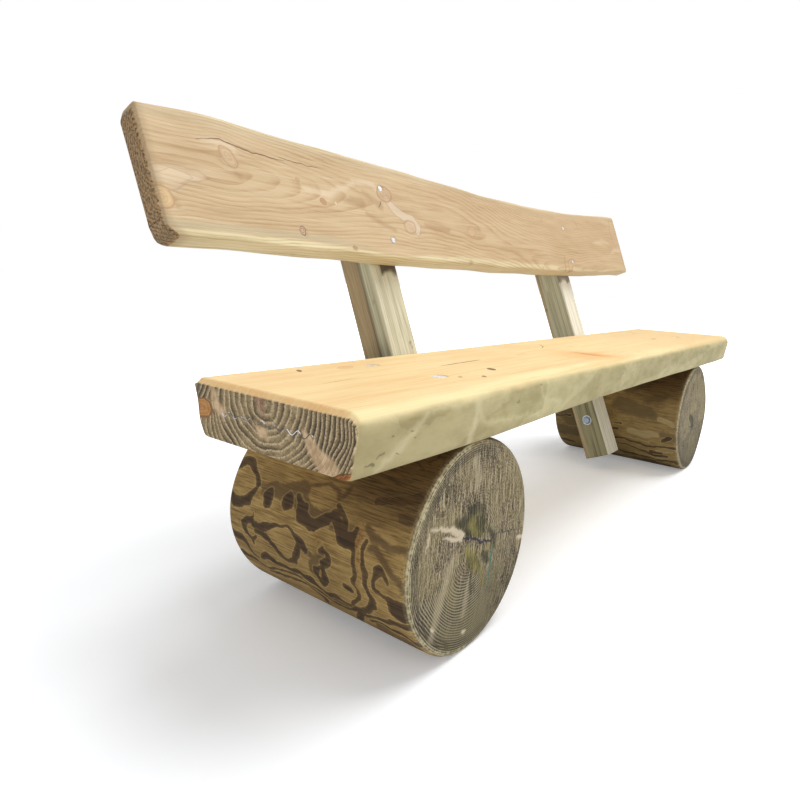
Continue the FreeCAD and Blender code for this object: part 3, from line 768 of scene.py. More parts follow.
# Drawn on the logs' sawn ends: strokes of (x, z, half width) in millimetres.
END_STAINS = (((-748, 240, 5), (-730, 232, 9), (-712, 240, 9), (-690, 248, 9), (-674, 240, 7)),
              ((-672, 264, 2), (-668, 228, 4), (-664, 200, 4)), ((-736, 222, 4), (-712, 208, 5)),
              ((-668, 158, 4), (-656, 150, 10), (-648, 140, 6)), ((-650, 196, 5), (-631, 180, 6),
                                                                  (-628, 158, 5)),
              ((-700, 132, 2), (-697, 100, 2)), ((-689, 112, 2), (-686, 95, 2)),
              ((640, 190, 10), (672, 172, 14), (690, 140, 9)))
END_OLIVE = (((-740, 228, 8), (-715, 222, 15), (-694, 218, 22), (-676, 208, 17)),
             ((-716, 178, 5), (-700, 158, 13), (-682, 138, 11)))
END_MOSS = (((-703, 232, 7), (-694, 214, 11), (-690, 202, 6)), ((-716, 184, 6), (-702, 172, 10),
                                                              (-690, 162, 8)),
            ((-692, 150, 5), (-678, 138, 5)), ((-652, 170, 5), (-640, 163, 6)),
            ((-668, 128, 8), (-660, 100, 6)))
END_CRACKS = (((-728, 204, 1.0), (-712, 201, 2.2), (-700, 196, 2.0), (-688, 191, 2.8),
               (-672, 182, 2.4), (-655, 175, 3.0), (-640, 172, 1.8), (-632, 180, 0.8)),
              ((-640, 183, 0.3), (-600, 176, 0.8), (-560, 168, 0.6), (-525, 160, 0.3)),
              ((632, 158, 0.4), (655, 150, 1.6), (690, 148, 1.2), (725, 158, 0.4)))
END_PALES = (((-812, 246, 1), (-790, 240, 2), (-765, 232, 4), (-745, 222, 5), (-728, 210, 5)),
             ((-780, 222, 1), (-755, 212, 4), (-735, 208, 5)), ((-802, 82, 2), (-799, 78, 3)),
             ((-714, 38, 2.5), (-710, 35, 3)), ((-546, 147, 2), (-528, 145, 4)),
             ((-818, 240, 2), (-824, 215, 1)))
END_SHEENS = (((-752, 182, 5), (-768, 150, 8), (-786, 110, 8), (-802, 66, 5)),
              ((-705, 120, 3), (-716, 70, 4)), ((-700, 330, 8), (-690, 290, 6)))
END_TEALS = (((-636, 165, 1.5), (-638, 140, 3.5), (-640, 112, 2.5), (-642, 80, 1)),)


def log_finish(look):
    finish = Finish("log_wood")
    # Peeled side: ragged patches of dark late wood in paler early wood.
    ragged = finish.cloud((170.0, 90.0, 170.0), 4.0, 0.65)
    grain = finish.cloud((420.0, 18.0, 420.0), 3.0, 0.65)
    dust = finish.cloud((34.0, 16.0, 34.0), 3.0, 0.65)
    lines = finish.cloud((260.0, 5.0, 260.0), 2.0, 0.5)
    rag = finish.math("SUBTRACT", ragged, 0.5)
    depth = finish.math("MULTIPLY_ADD", rag, 7.0, finish.mask("figure"))
    soft = finish.math("MULTIPLY_ADD", rag, 10.0, finish.mask("murk"))
    late = finish.band(depth, -1.8, -0.2)
    deep = finish.band(depth, -0.5, 6.0)
    side = finish.blend(finish.band(dust, 0.3, 0.75), look.log_light, look.log_mid)
    side = finish.blend(finish.band(grain, 0.45, 0.65, 0.0, 0.65), side, tone(92, 68, 34))
    side = finish.blend(finish.band(grain, 0.42, 0.25, 0.0, 0.55), side, tone(208, 180, 120))
    # Soft dark patches of the murk mask; on the right log they are partly painted shade behind the
    # post and under the seat.
    side = finish.blend(finish.band(soft, -3.5, 2.5, 0.0, 0.75), side, tone(86, 66, 42))
    east = finish.band(finish.axis(finish.object_place, "X"), 0.2, 0.4)
    side = finish.blend(finish.times(east, 0.42), side, tone(96, 88, 60))
    torn = finish.times(finish.band(depth, -4.6, -2.8), finish.band(depth, -0.8, -1.8))
    side = finish.blend(finish.times(torn, 0.22), side, tone(204, 174, 116))
    inner = finish.blend(finish.band(lines, 0.35, 0.65), look.log_dark, tone(82, 62, 40))
    side = finish.blend(finish.times(late, finish.math("MULTIPLY_ADD", deep, 0.2, 0.78)),
                        side, inner)
    pitch = finish.math("MULTIPLY_ADD", rag, 4.0, finish.mask("pitch"))
    bared = finish.blend(finish.band(ragged, 0.35, 0.6), tone(122, 78, 34), tone(166, 132, 80))
    bared = finish.blend(east, bared, tone(168, 150, 108))
    side = finish.blend(finish.times(finish.band(pitch, -0.8, 1.5), finish.math(
        "MULTIPLY_ADD", east, -0.25, 0.8)), side, bared)
    # Painted shade under the seat: the high mask darkens the upper side of each log's front part.
    side = finish.blend(finish.times(finish.mask("high"), 0.88), side, finish.blend(
        finish.band(grain, 0.42, 0.62), tone(84, 62, 32), tone(46, 34, 18)))
    # Sawn end: fine broken saw marks over the growth rings, and a weathered rim.
    level = finish.axis(finish.object_place, "Z")
    across = finish.mask("saw")
    saw = finish.noise(finish.vector(finish.times(across, 380.0), 0.0,
                                     finish.times(level, 26.0)), 1.0, 4.0, 0.72)
    fleck = finish.noise(finish.vector(finish.times(across, 520.0), 0.0,
                                       finish.times(level, 220.0)), 1.0, 3.0, 0.7)
    grit = finish.cloud((170.0, 170.0, 170.0), 3.0, 0.7)
    murk = finish.cloud((13.0, 13.0, 13.0), 3.0, 0.6)
    ring_late = late_wood(finish, finish.mask("rings"), 0.25, 40.0)
    fine = finish.mask("fine")
    calm = finish.math("MULTIPLY_ADD", fine, -0.65, 1.0)
    dark = finish.math("ADD", finish.band(saw, 0.47, 0.58, -0.05, 0.8),
                       finish.band(fleck, 0.48, 0.6, -0.05, 0.6))
    dark = finish.math("MULTIPLY_ADD", dark, calm, finish.times(ring_late, fine))
    dark = finish.math("ADD", dark, finish.band(murk, 0.4, 0.6, -0.2, 0.35), clamp=True)
    base_end = finish.blend(finish.band(level, 0.2, 0.03, 0.0, 0.7), look.log_end,
                            tone(104, 94, 68))
    ends = finish.blend(dark, base_end, tone(48, 38, 24))
    light = finish.math("ADD", finish.band(saw, 0.49, 0.4, 0.0, 0.6),
                        finish.band(fleck, 0.46, 0.38, 0.0, 0.6), clamp=True)
    ends = finish.blend(finish.times(light, calm), ends, tone(212, 194, 160))
    pale_ring = finish.band(ring_late, 0.25, 0.06)
    ends = finish.blend(finish.times(pale_ring, finish.times(fine, 0.75)),
                        ends, tone(196, 184, 150))
    ends = finish.blend(finish.band(level, 0.17, 0.05, 0.0, 0.42), ends, tone(60, 52, 38))
    ends = finish.blend(finish.band(murk, 0.6, 0.4, 0.0, 0.25), ends, tone(120, 112, 68))
    rim = finish.math("MULTIPLY_ADD", finish.math("SUBTRACT", murk, 0.5), 16.0, finish.mask("rim"))
    arcs = finish.math("FRACT", finish.times(finish.mask("rim"), 0.27))
    dots = finish.times(finish.band(arcs, 0.45, 0.8), finish.band(grit, 0.4, 0.55,
                                                                           0.2, 0.9))
    west = finish.mask("west")
    bark = finish.blend(dots, finish.blend(finish.band(grit, 0.4, 0.6), tone(206, 194, 156),
                                           tone(156, 144, 110)), tone(84, 74, 54))
    ends = finish.blend(finish.times(finish.band(rim, 15.0, 9.0), finish.math(
        "MULTIPLY_ADD", west, 0.72, 0.12)), ends, bark)
    line = finish.times(finish.band(rim, 7.0, 11.0), finish.band(rim, 32.0, 22.0))
    line = finish.times(line, finish.times(west, finish.band(
        arcs, 0.25, 0.6, 0.05, 0.75)))
    ends = finish.blend(line, ends, tone(58, 50, 44))
    sheet = finish.vectors("SCALE", finish.sheet("X", "Z", 0.012, 80.0), scale=1000.0)
    front = finish.band(finish.axis(finish.object_place, "Y"), -0.20, -0.22)
    marked = finish.strokes(ends, sheet, END_SHEENS, -9.0, 6.0, 0.4, tone(196, 182, 150))
    flecked = finish.math("SUBTRACT", fleck, 0.5)
    olive = finish.math("MULTIPLY_ADD", flecked, 16.0, finish.drawn(sheet, END_OLIVE))
    marked = finish.blend(finish.band(olive, -5.0, 3.0, 0.0, 0.8), marked, finish.blend(
        finish.band(saw, 0.42, 0.55), tone(132, 122, 66), tone(56, 54, 32)))
    marked = finish.strokes(marked, sheet, END_STAINS, -5.0, 4.0, 0.8, finish.blend(
        finish.band(saw, 0.4, 0.55), tone(88, 82, 58), tone(44, 42, 30)))
    marked = finish.strokes(marked, sheet, END_MOSS, -5.0, 5.0, 0.55, finish.blend(
        finish.band(saw, 0.4, 0.58), tone(160, 148, 84), tone(88, 80, 36)))
    marked = finish.blend(finish.times(finish.band(finish.drawn(
        sheet, END_TEALS), -2.0, 2.0), finish.band(fleck, 0.35, 0.6, 0.25, 0.95)), marked,
        tone(62, 118, 98))
    pale = finish.math("MULTIPLY_ADD", flecked, 18.0, finish.drawn(sheet, END_PALES))
    marked = finish.blend(finish.band(pale, -2.5, 2.0, 0.0, 0.85), marked, tone(218, 202, 174))
    crack = finish.math("MULTIPLY_ADD", flecked, 12.0, finish.drawn(sheet, END_CRACKS))
    marked = finish.blend(finish.band(crack, -1.2, 0.6, 0.0, 0.9), marked, tone(46, 42, 56))
    ends = finish.blend(front, ends, marked)
    end = finish.mask("end")
    base = finish.blend(end, side, ends)
    height = finish.math("MULTIPLY_ADD", late, -0.35, finish.times(grain, 0.8))
    rough_end = finish.math("MULTIPLY_ADD", saw, 0.9, finish.times(fleck, 0.9))
    height = finish.math("MULTIPLY_ADD", finish.math("SUBTRACT", rough_end, height), end, height)
    return finish.close(base, 0.74, height, 0.0018, 0.65, 0.25)


def zinc_finish(look):
    finish = Finish("zinc_plate")
    spangle = finish.cloud((220.0, 220.0, 220.0), 3.0, 0.6)
    scratch = finish.cloud((1500.0, 300.0, 900.0), 2.0)
    base = finish.blend(finish.band(spangle, 0.35, 0.65), look.zinc, tone(196, 200, 208))
    rough = finish.band(spangle, 0.3, 0.7, 0.32, 0.5)
    # The domed heads on the posts' inner sides: bluer, with a ring of painted shade round their
    # foot, about the screw's axis.
    across = finish.vectors("MULTIPLY", finish.vectors("SUBTRACT", finish.object_place,
                                                       (0.0, 0.0039, 0.166)), (0.0, 1000.0, 1000.0))
    away = finish.vectors("LENGTH", across)
    base = finish.blend(finish.band(away, 13.2, 12.0, 0.0, 0.85), base, tone(150, 172, 192))
    base = finish.blend(finish.times(finish.band(away, 9.0, 11.5),
                                    finish.band(away, 13.4, 12.4, 0.0, 0.75)), base,
                        tone(62, 72, 84))
    finish.surface.inputs["Metallic"].default_value = 0.3
    return finish.close(base, rough, scratch, 0.0002, 0.3, 0.5)


def strip_finish(look):
    finish = Finish("strip_zinc")
    dirt = finish.cloud((20.0, 42.0, 60.0), 3.0, 0.6)
    base = finish.blend(finish.band(dirt, 0.45, 0.58), look.zinc, tone(92, 86, 78))
    finish.put(finish.surface.inputs["Metallic"], finish.band(dirt, 0.45, 0.58, 0.6, 0.0))
    return finish.close(base, 0.5, dirt, 0.0002, 0.3, 0.5)


SEAT_STATIONS = np.array([-1.0, -0.75, -0.5, -0.25, 0.0, 0.35, 0.7, 1.0])
FRONT_STATIONS = 0.015 + SEAT_STATIONS
SEAT_MIDDLE = -0.298807 + 0.185
FRONT_TOP = SEAT_MIDDLE - 0.185 * np.array([0.945, 0.935, 0.9, 0.945, 0.965, 0.98, 1.0, 0.995])
FRONT_LOW = SEAT_MIDDLE - 0.185 * np.array([0.865, 0.915, 0.89, 0.845, 0.835, 0.865, 0.91, 0.925])


def seat_masks(points, shapes):
    """Grain of the seat: rings about a heart that runs along the plank under its top.

    The ring count is the integral of one over the ring width, and the width falls with the
    distance from the heart, faster towards the front.
    """
    x, y, z = points.T
    low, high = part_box("seat_plank")
    heart_y = -0.108 + 0.010 * np.sin(3.1 * (x - low.x)) - 0.006 * np.sin(7.3 * (x - low.x))
    heart_z = 0.432 + 0.012 * np.sin(2.3 * (x - low.x))
    side, rise = (y - heart_y) / 1.3, z - heart_z
    rise = np.where(rise > 0, 0.25 * rise, rise)
    radius = np.hypot(side, rise) * (1 + 0.03 * (x - low.x))
    radius = radius + 0.0011 * ripple(points, (0.35, 0.035, 0.035), 3)
    knot_off = oval(y, z, (0.045, 0.406, 0.040, 0.024, 0))
    radius = radius - 0.012 * np.exp(-knot_off**2) * np.sign(z - 0.406) * (x < low.x + 0.03)
    quick = 0.041 - 0.0125 * np.tanh(side / 0.05)
    first = shapes.ring_width
    rings = -np.log(np.maximum(1 - quick * radius / first, 0.02)) / quick
    right = step(high.x - 0.0016, high.x - 0.0007, x)
    below = step(0.4430, 0.4412, z)
    end = np.maximum(below * step(low.x + 0.0022, low.x + 0.0008, x), right)
    end = np.maximum(end, below * step(low.x + 0.0046, low.x + 0.0034, x))
    bevel = step(low.x + 0.011, low.x + 0.006, x)
    front = smooth(x, FRONT_STATIONS, FRONT_TOP)
    front_low = smooth(x, FRONT_STATIONS, FRONT_LOW)
    face = front + (front_low - front) * (high.z - z) / (high.z - low.z)
    hewn = step(0.018, 0.006, y - face) * step(0.443, 0.432, z + 0.0006 * ripple(
        points, (0.05, 9.0, 9.0), 22)) * (1 - end)
    plate = 1.1 * ripple(points, (0.30, 0.5, 0.10), 21)
    plate = plate + 1.2 * step(-0.725, -0.705, x) * step(-0.46, -0.49, x) * step(
        0.376, 0.384, z - 0.05 * (x + 0.6) ** 2)
    sap = step(0.040, 0.014, y - front + 0.004 * ripple(points, (0.12, 9.0, 9.0), 23)) * (1 - end)
    on_top = step(0.444, 0.449, z)
    warm = on_top * np.clip(patches(x, y, ((-0.130, -0.200, 0.075, 0.075, 0, 0.45),
                                          (-0.085, -0.205, 0.025, 0.06, 10, 0.55),
                                          (-0.130, 0.020, 0.05, 0.03, 0, 0.25),
                                          (-0.880, 0.000, 0.06, 0.04, -30, 0.22),
                                          (-0.720, 0.0, 0.02, 0.01, 0, 0.15))), 0, 1)
    warm = np.maximum(warm, 0.35 * bevel * (1 - end))
    return {"rings": rings, "end": end, "hewn": hewn, "plate": plate, "sap": sap, "warm": warm}


def lines(start, end, pitch, extra=()):
    """Places from start to end, about a pitch apart, with extra ones among them."""
    plain = np.linspace(start, end, max(2, int(round((end - start) / pitch)) + 1))
    keep = np.ones(len(plain), bool)
    for place in extra:
        keep &= (np.abs(plain - place) > pitch * 0.3) | (plain == start) | (plain == end)
    return np.unique(np.concatenate([plain[keep], extra]))


def recess(points, centre, radius, depth, axes=(0, 1), sink=2):
    """Round recess in a flat grid: squares about its centre become circles, and it is let down."""
    a, b = points[..., axes[0]] - centre[0], points[..., axes[1]] - centre[1]
    square, circle = np.maximum(np.abs(a), np.abs(b)), np.maximum(np.hypot(a, b), 1e-9)
    share = step(2.2 * radius, 1.05 * radius, square)
    grown = 1 + (square / circle - 1) * share
    points[..., axes[0]] = centre[0] + a * grown
    points[..., axes[1]] = centre[1] + b * grown
    points[..., sink] -= depth * (square < radius * 1.002)


class BENCH_OT_seat(bpy.types.Operator):
    """Make the seat plank: a hewn front edge, bevelled ends and recesses for its screws."""
    bl_idname = "bench.seat"
    bl_label = "Seat plank"

    def execute(self, context):
        shapes = context.scene.bench_shapes
        low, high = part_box("seat_plank")
        screws = [tuple((a + b) / 2 for a, b in zip(*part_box(f"seat_screw_{side}_{row}")))
                  for side in ("left", "right") for row in ("rear", "front")]
        rims = [SCREW_RECESS, SCREW_RECESS + 0.0004]
        cut = shapes.seat_end_cut
        marks = [screw[0] + sign * rim for screw in screws[::2] for rim in rims for sign in (-1, 1)]
        near, far = marks[:4], marks[4:]
        x = np.concatenate([low.x + np.array([0, 0.0006, 0.0022, 0.0045, 0.0068, cut]),
                            lines(low.x + 0.012, -0.35, 0.0034, near)[:-1],
                            lines(-0.35, high.x - 0.012, 0.0072, far),
                            high.x - np.array([cut, 0.0060, 0.0030, 0.0012, 0])])
        inset = np.clip(cut - np.minimum(x - low.x, high.x - x), 0, cut)
        count = len(x)
        points = np.stack([x, 0 * x, 0 * x], -1)
        wave = 0.0008 * ripple(points, 0.12, 7)
        top_rear = np.full(count, SEAT_REAR)
        low_rear = top_rear - SEAT_THICK * math.tan(LEAN)
        top_front = smooth(x, FRONT_STATIONS, FRONT_TOP) + wave
        low_front = smooth(x, FRONT_STATIONS, FRONT_LOW) - wave
        corners = np.stack([np.stack([top_rear, np.full(count, high.z)], -1),
                            np.stack([top_front, np.full(count, high.z)], -1),
                            np.stack([low_front, np.full(count, low.z)], -1),
                            np.stack([low_rear, np.full(count, low.z)], -1)], 1)
        radii = (shapes.seat_rear_round, shapes.seat_front_round, shapes.seat_low_round,
                 shapes.seat_rear_round)
        rows = sorted(screw[1] + sign * rim for screw in screws[:2] for rim in rims
                      for sign in (-1, 1))
        fixed = lines(-0.205, 0.048, 0.0062, rows)[::-1]
        flex = np.linspace(0, 1, 16)[1:]
        start, end = 0.0610, top_front + 0.0238
        across = np.concatenate([np.repeat(fixed[None], count, 0),
                                 -0.205 + (end[:, None] + 0.205) * flex[None, :-1]], 1)
        shares = (start - across) / (start - end[:, None])
        even = np.linspace(0, 1, shares.shape[1] + 2)[1:-1]
        deep = np.linspace(0, 1, 24)[1:-1]
        sides = (shares, np.repeat(deep[None], count, 0), np.repeat(even[None], count, 0),
                 np.repeat(deep[None], count, 0))
        flat, outward = rounded(corners, radii, sides)
        bevel = 0.30 + 0.67 * step(0.3, 0.8, outward[..., 1])
        flat = flat - outward * (inset[:, None] * bevel)[..., None]
        swell = np.exp(-((flat[..., 1] - 0.385) / 0.024) ** 2) * step(0.2, 0.6, outward[..., 0])
        flat[..., 0] += 0.007 * swell * step(-0.80, -0.93, x)[:, None]
        tube = np.concatenate([np.repeat(x[:, None, None], flat.shape[1], 1), flat], -1)
        hewn = step(0.004, -0.010, tube[..., 1] - top_front[:, None] - 0.01) * (
            step(0.358, 0.372, tube[..., 2]) * step(0.452, 0.428, tube[..., 2]))
        relief = 0.0011 * ripple(tube, (0.10, 0.05, 0.05), 11)
        tube[..., 1] += hewn * relief * step(0.0, 0.02, np.minimum(x - low.x, high.x - x))[:, None]
        for screw in screws:
            upper = tube[:, :shares.shape[1] + 8]
            recess(upper, screw, SCREW_RECESS, RECESS_DEPTH)
        points, faces = bar(tube, shares.shape[1] + 7)
        piece("seat_plank_skin", "seat_plank", points, faces, slot="seat_wood",
              finish=seat_finish(context.scene.bench_finishes), masks=seat_masks(points, shapes))
        return {"FINISHED"}


BACK_MIDDLE, BACK_LOW, BACK_WIDTH = -0.015, 0.205, 0.230
BACK_STATIONS = BACK_MIDDLE + np.array([-1.0, -0.9, -0.7, -0.4, -0.15, 0.1, 0.4, 0.7, 0.9, 1.0])
BACK_TOP = BACK_LOW + BACK_WIDTH * np.array(
    [0.985, 1.02, 1.01, 0.987, 0.959, 0.946, 0.974, 1.052, 1.135, 1.17])
BACK_FOOT = BACK_LOW + BACK_WIDTH * np.array(
    [0.02, 0.022, 0.02, -0.004, 0.0, 0.004, 0.018, 0.055, 0.1, 0.11])


def leaning(x, back, up):
    """Place in the room of a point of the leaning frame: its origin is the seat's top rear edge."""
    return np.stack([x, SEAT_REAR + back * BACKWARD[1] + up * UPWARD[1],
                     SEAT_TOP + back * BACKWARD[2] + up * UPWARD[2]], -1)


def upright(points):
    """Back and up of the leaning frame for places in the room."""
    shifted = points - np.array([0.0, SEAT_REAR, SEAT_TOP])
    return shifted @ BACKWARD, shifted @ UPWARD


# Knots of the back plank: x, up, half length, half height, turn.
BACK_KNOTS = ((-0.862, 0.365, 0.022, 0.024, 0), (-0.464, 0.355, 0.026, 0.022, 20),
              (-0.400, 0.285, 0.020, 0.016, 0), (-0.995, 0.272, 0.020, 0.018, 0),
              (-0.660, 0.312, 0.008, 0.007, 0), (-0.730, 0.244, 0.008, 0.007, 0),
              (-0.603, 0.219, 0.007, 0.006, 0), (-0.140, 0.300, 0.018, 0.014, 0),
              (0.435, 0.228, 0.034, 0.015, 40), (-0.560, 0.326, 0.010, 0.006, 0),
              (0.645, 0.400, 0.012, 0.008, 0))


def back_masks(points):
    """Grain of the back plank: rings about a line before its face, whose depth wanders along it.

    Beside a knot the rings part and run round it: the height is drawn towards the knot by the
    square of its size over the distance. The distance to an end counts in millimetres, and the
    lower corner of each end adds a slanting one.
    """
    x = points[:, 0]
    back, up = upright(points)
    height = up + 0.004 * ripple(points, (0.5, 0.2, 0.2), 31) + 0.0012 * ripple(
        points, (0.12, 0.06, 0.06), 32)
    height = height - 0.06 * step(0.2, 0.95, x)
    for row in BACK_KNOTS:
        away = oval(x, up, row)
        height = height - 0.9 * (up - row[1]) / (0.35 + away**2) * np.exp(-(away / 4) ** 2)
    heart = 0.315 - 0.02 * np.sin(2.2 * x) - 0.12 * step(-0.3, 0.6, x)
    calm = 1 - 0.7 * step(0.0, 0.4, x)
    wander = 0.020 * np.sin(3.6 * x + 1.9) + 0.008 * np.sin(8.7 * x)
    depth = back + BACK_THICK + 0.075 + calm * wander
    rings = np.hypot(depth, height - heart) / BACK_RING
    low, high = x.min(), x.max()
    foot = smooth(x, BACK_STATIONS, BACK_FOOT)
    above = 1000 * (up - foot)
    sides = [1000 * (x - low - 0.05 * (BACK_HEAD - up)),
             1000 * (high - 0.06 * (BACK_HEAD - up) - x)]
    off = np.minimum(sides[0], sides[1])
    off = np.minimum(off, 0.74 * (sides[0] + 1.1 * above - 21))
    band = smooth(x, (-1.02, -0.62, -0.5, -0.45, 0.35, 0.7, 1.0),
                  (0.223, 0.220, 0.211, 0.212, 0.213, 0.226, 0.240))
    band = np.maximum(band, foot + smooth(x, (-0.55, -0.35, 0.5, 0.8), (0.0, 0.012, 0.012, 0.0)))
    sap = step(0.004, -0.004, up - band + 0.0015 * ripple(points, (0.1, 0.1, 0.1), 33))
    tinge = step(0.0, 0.003, up - band) * step(0.022, 0.008, up - band) * step(-0.5, -0.68, x)
    top = smooth(x, BACK_STATIONS, BACK_TOP)
    rise = up - top + 0.003 * np.sin(7 * x)
    sap = np.maximum(sap, 0.8 * step(-0.014, -0.004, rise) * step(-0.95, -0.85, x))
    tinge = np.maximum(tinge, 0.4 * step(-0.03, -0.018, rise) * step(-0.006, -0.014, rise))
    return {"rings": rings, "sap": sap, "tinge": tinge, "off": off,
            "front": step(-0.030, -0.040, back),
            "low": np.minimum(np.maximum(sides[0], 0) + np.maximum(above, 0), 60)}


class BENCH_OT_back(bpy.types.Operator):
    """Make the back plank: waney long edges, leaning cut ends and dimples for its screws."""
    bl_idname = "bench.back"
    bl_label = "Back plank"

    def execute(self, context):
        shapes = context.scene.bench_shapes
        low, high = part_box("back_plank")
        cut = shapes.back_end_cut
        x = np.concatenate([low.x + np.array([0, 0.0008, 0.0020, 0.0040, 0.0055, cut, 0.0085,
                                              0.01]),
                            lines(low.x + 0.0135, -0.33, 0.0042)[:-1],
                            lines(-0.33, 0.43, 0.0085)[:-1], lines(0.43, 0.485, 0.0042)[:-1],
                            lines(0.485, high.x - 0.013, 0.0085),
                            high.x - np.array([0.01, 0.0085, cut, 0.0050, 0.0030, 0.0012, 0])])
        near = np.minimum(x - low.x, high.x - x)
        corner = np.clip(0.010 - near, 0, 0.010)
        wave = 0.0007 * ripple(np.stack([x, 0 * x, 0 * x], -1), 0.11, 9)
        top = smooth(x, BACK_STATIONS, BACK_TOP) - corner + wave
        foot = smooth(x, BACK_STATIONS, BACK_FOOT) + corner + wave
        foot += 0.012 * np.clip(1 - (x - low.x) / 0.024, 0, 1) ** 2
        rear, front = 0 * x, 0 * x - BACK_THICK
        corners = np.stack([np.stack(pair, -1) for pair in ((rear, top), (front, top),
                                                            (front, foot), (rear, foot))], 1)
        few, many = np.linspace(0, 1, 7)[1:-1], np.linspace(0, 1, 62)[1:-1]
        sides = tuple(np.repeat(share[None], len(x), 0) for share in (few, many, few, many))
        radii = (shapes.back_round, shapes.back_round, 0.006, 0.006)
        flat, outward = rounded(corners, radii, sides)
        inset = np.clip(cut - near, 0, cut)
        flat = flat - outward * inset[:, None, None] * 0.97
        up = flat[..., 1]
        share = np.clip((BACK_HEAD - up) / BACK_WIDTH, 0, 1.1)
        lean = 0.0115 * step(0.35, 0.0, x - low.x)[:, None] - 0.0138 * step(
            0.35, 0.0, high.x - x)[:, None]
        place = x[:, None] + share * lean
        back = flat[..., 0].copy()
        hewn = step(-0.047, -0.0475, back) * step(0, 0.02, near)[:, None]
        for screw_x in BACK_SCREWS_X:
            for screw_up in BACK_SCREWS_UP:
                away = np.hypot(place - screw_x, up - screw_up)
                back += 0.0024 * step(0.0095, 0.0068, away) * (back < -0.04)
        tube = leaning(place, back, up)
        relief = 0.0005 * hewn * ripple(tube, (0.16, 0.03, 0.03), 13)
        tube += relief[..., None] * BACKWARD
        points, faces = bar(tube, len(few) + 7)
        piece("back_plank_skin", "back_plank", points, faces, slot="back_wood",
              finish=back_finish(context.scene.bench_finishes), masks=back_masks(points))
        return {"FINISHED"}


class BENCH_OT_posts(bpy.types.Operator):
    """Make the two leaning posts: square bars with rounded edges."""
    bl_idname = "bench.posts"
    bl_label = "Posts"

    def execute(self, context):
        shapes, finish = context.scene.bench_shapes, post_finish(context.scene.bench_finishes)
        for side, seed in (("left", 41), ("right", 43)):
            low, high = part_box(f"post_{side}")
            cut = 0.002
            up = np.concatenate([POST_FOOT + np.array([0, cut / 3, cut]),
                                 lines(-0.410, 0.397, 0.0055),
                                 POST_HEAD - np.array([cut, cut / 3, 0])])
            inset = np.clip(cut - np.minimum(up - POST_FOOT, POST_HEAD - up), 0, cut)
            ones = np.ones(len(up))
            corners = np.stack([np.stack([a * ones, b * ones], -1) for a, b in (
                (low.x, 0.0), (high.x, 0.0), (high.x, POST_WIDE), (low.x, POST_WIDE))], 1)
            inner = np.repeat(np.linspace(0, 1, 20)[None, 1:-1], len(up), 0)
            flat, outward = rounded(corners, (shapes.post_round,) * 4, (inner,) * 4)
            flat = flat - outward * inset[:, None, None]
            tube = leaning(flat[..., 0], flat[..., 1], np.repeat(up[:, None], flat.shape[1], 1))
            points, faces = bar(tube, inner.shape[1] + 7)
            x = points[:, 0]
            back, height = upright(points)
            sway = 0.004 * ripple(np.stack([x, back, height], -1), (0.1, 0.1, 0.6), seed)
            middle = (low.x + 0.11, 0.10) if side == "left" else (low.x - 0.06, 0.055)
            rings = np.hypot(x - middle[0] + sway, back - middle[1] + sway) / YEAR_RING
            face = step(0.0075, 0.004, back)
            under = height + 0.004 * ripple(points, 0.03, 43)
            if side == "left":
                heart = step(0.030, 0.037, back + sway)
                dark = 0.7 * spots(back, height, ((0.017, 0.125, 0.003, 0.004, 0, 0.6),), 0.6) * (
                    x < low.x + 0.004)
                dark = np.maximum(dark, face * spots(x, height, (
                    (-0.450, 0.022, 0.003, 0.004, 0, 0.7), (-0.447, 0.012, 0.003, 0.003, 0, 0.5)),
                    0.6))
                dark = np.maximum(dark, 0.6 * step(0.040, 0.036, back) * step(0.029, 0.034, back))
                # Painted shadow on the front face just under the back plank.
                dark = np.maximum(dark, 0.92 * face * step(0.180, 0.190, under) * step(
                    -0.492, -0.484, x))
                shade = 0.5 * step(0.06, 0.0, height) * (1 - face)
                # Front face: pale wood and painted light.
                pale_and_lit_front = 0.2 * face
            else:
                heart = step(0.068, 0.072, back + sway) * step(0.088, 0.08, back)
                dark = 0.7 * spots(back, height, ((0.077, 0.112, 0.004, 0.005, 0, 0.7),), 0.6) * (
                    x < low.x + 0.004)
                # Painted shadow on the front face just under the back plank.
                dark = np.maximum(dark, 0.7 * face * step(0.190, 0.202, under))
                shade = (0.22 + 0.53 * step(-0.06, -0.10, height)) * (1 - face) * (1 - heart)
                # Front face: pale wood and painted light, a quarter less below the seat.
                pale_and_lit_front = face * (1 - 0.25 * step(-0.05, -0.10, height))
            piece(f"post_{side}_skin", f"post_{side}", points, faces, slot="post_wood",
                  finish=finish, masks={"rings": rings, "heart": heart, "dark": dark,
                                        "shade": shade, "pale_and_lit_front": pale_and_lit_front})
        return {"FINISHED"}


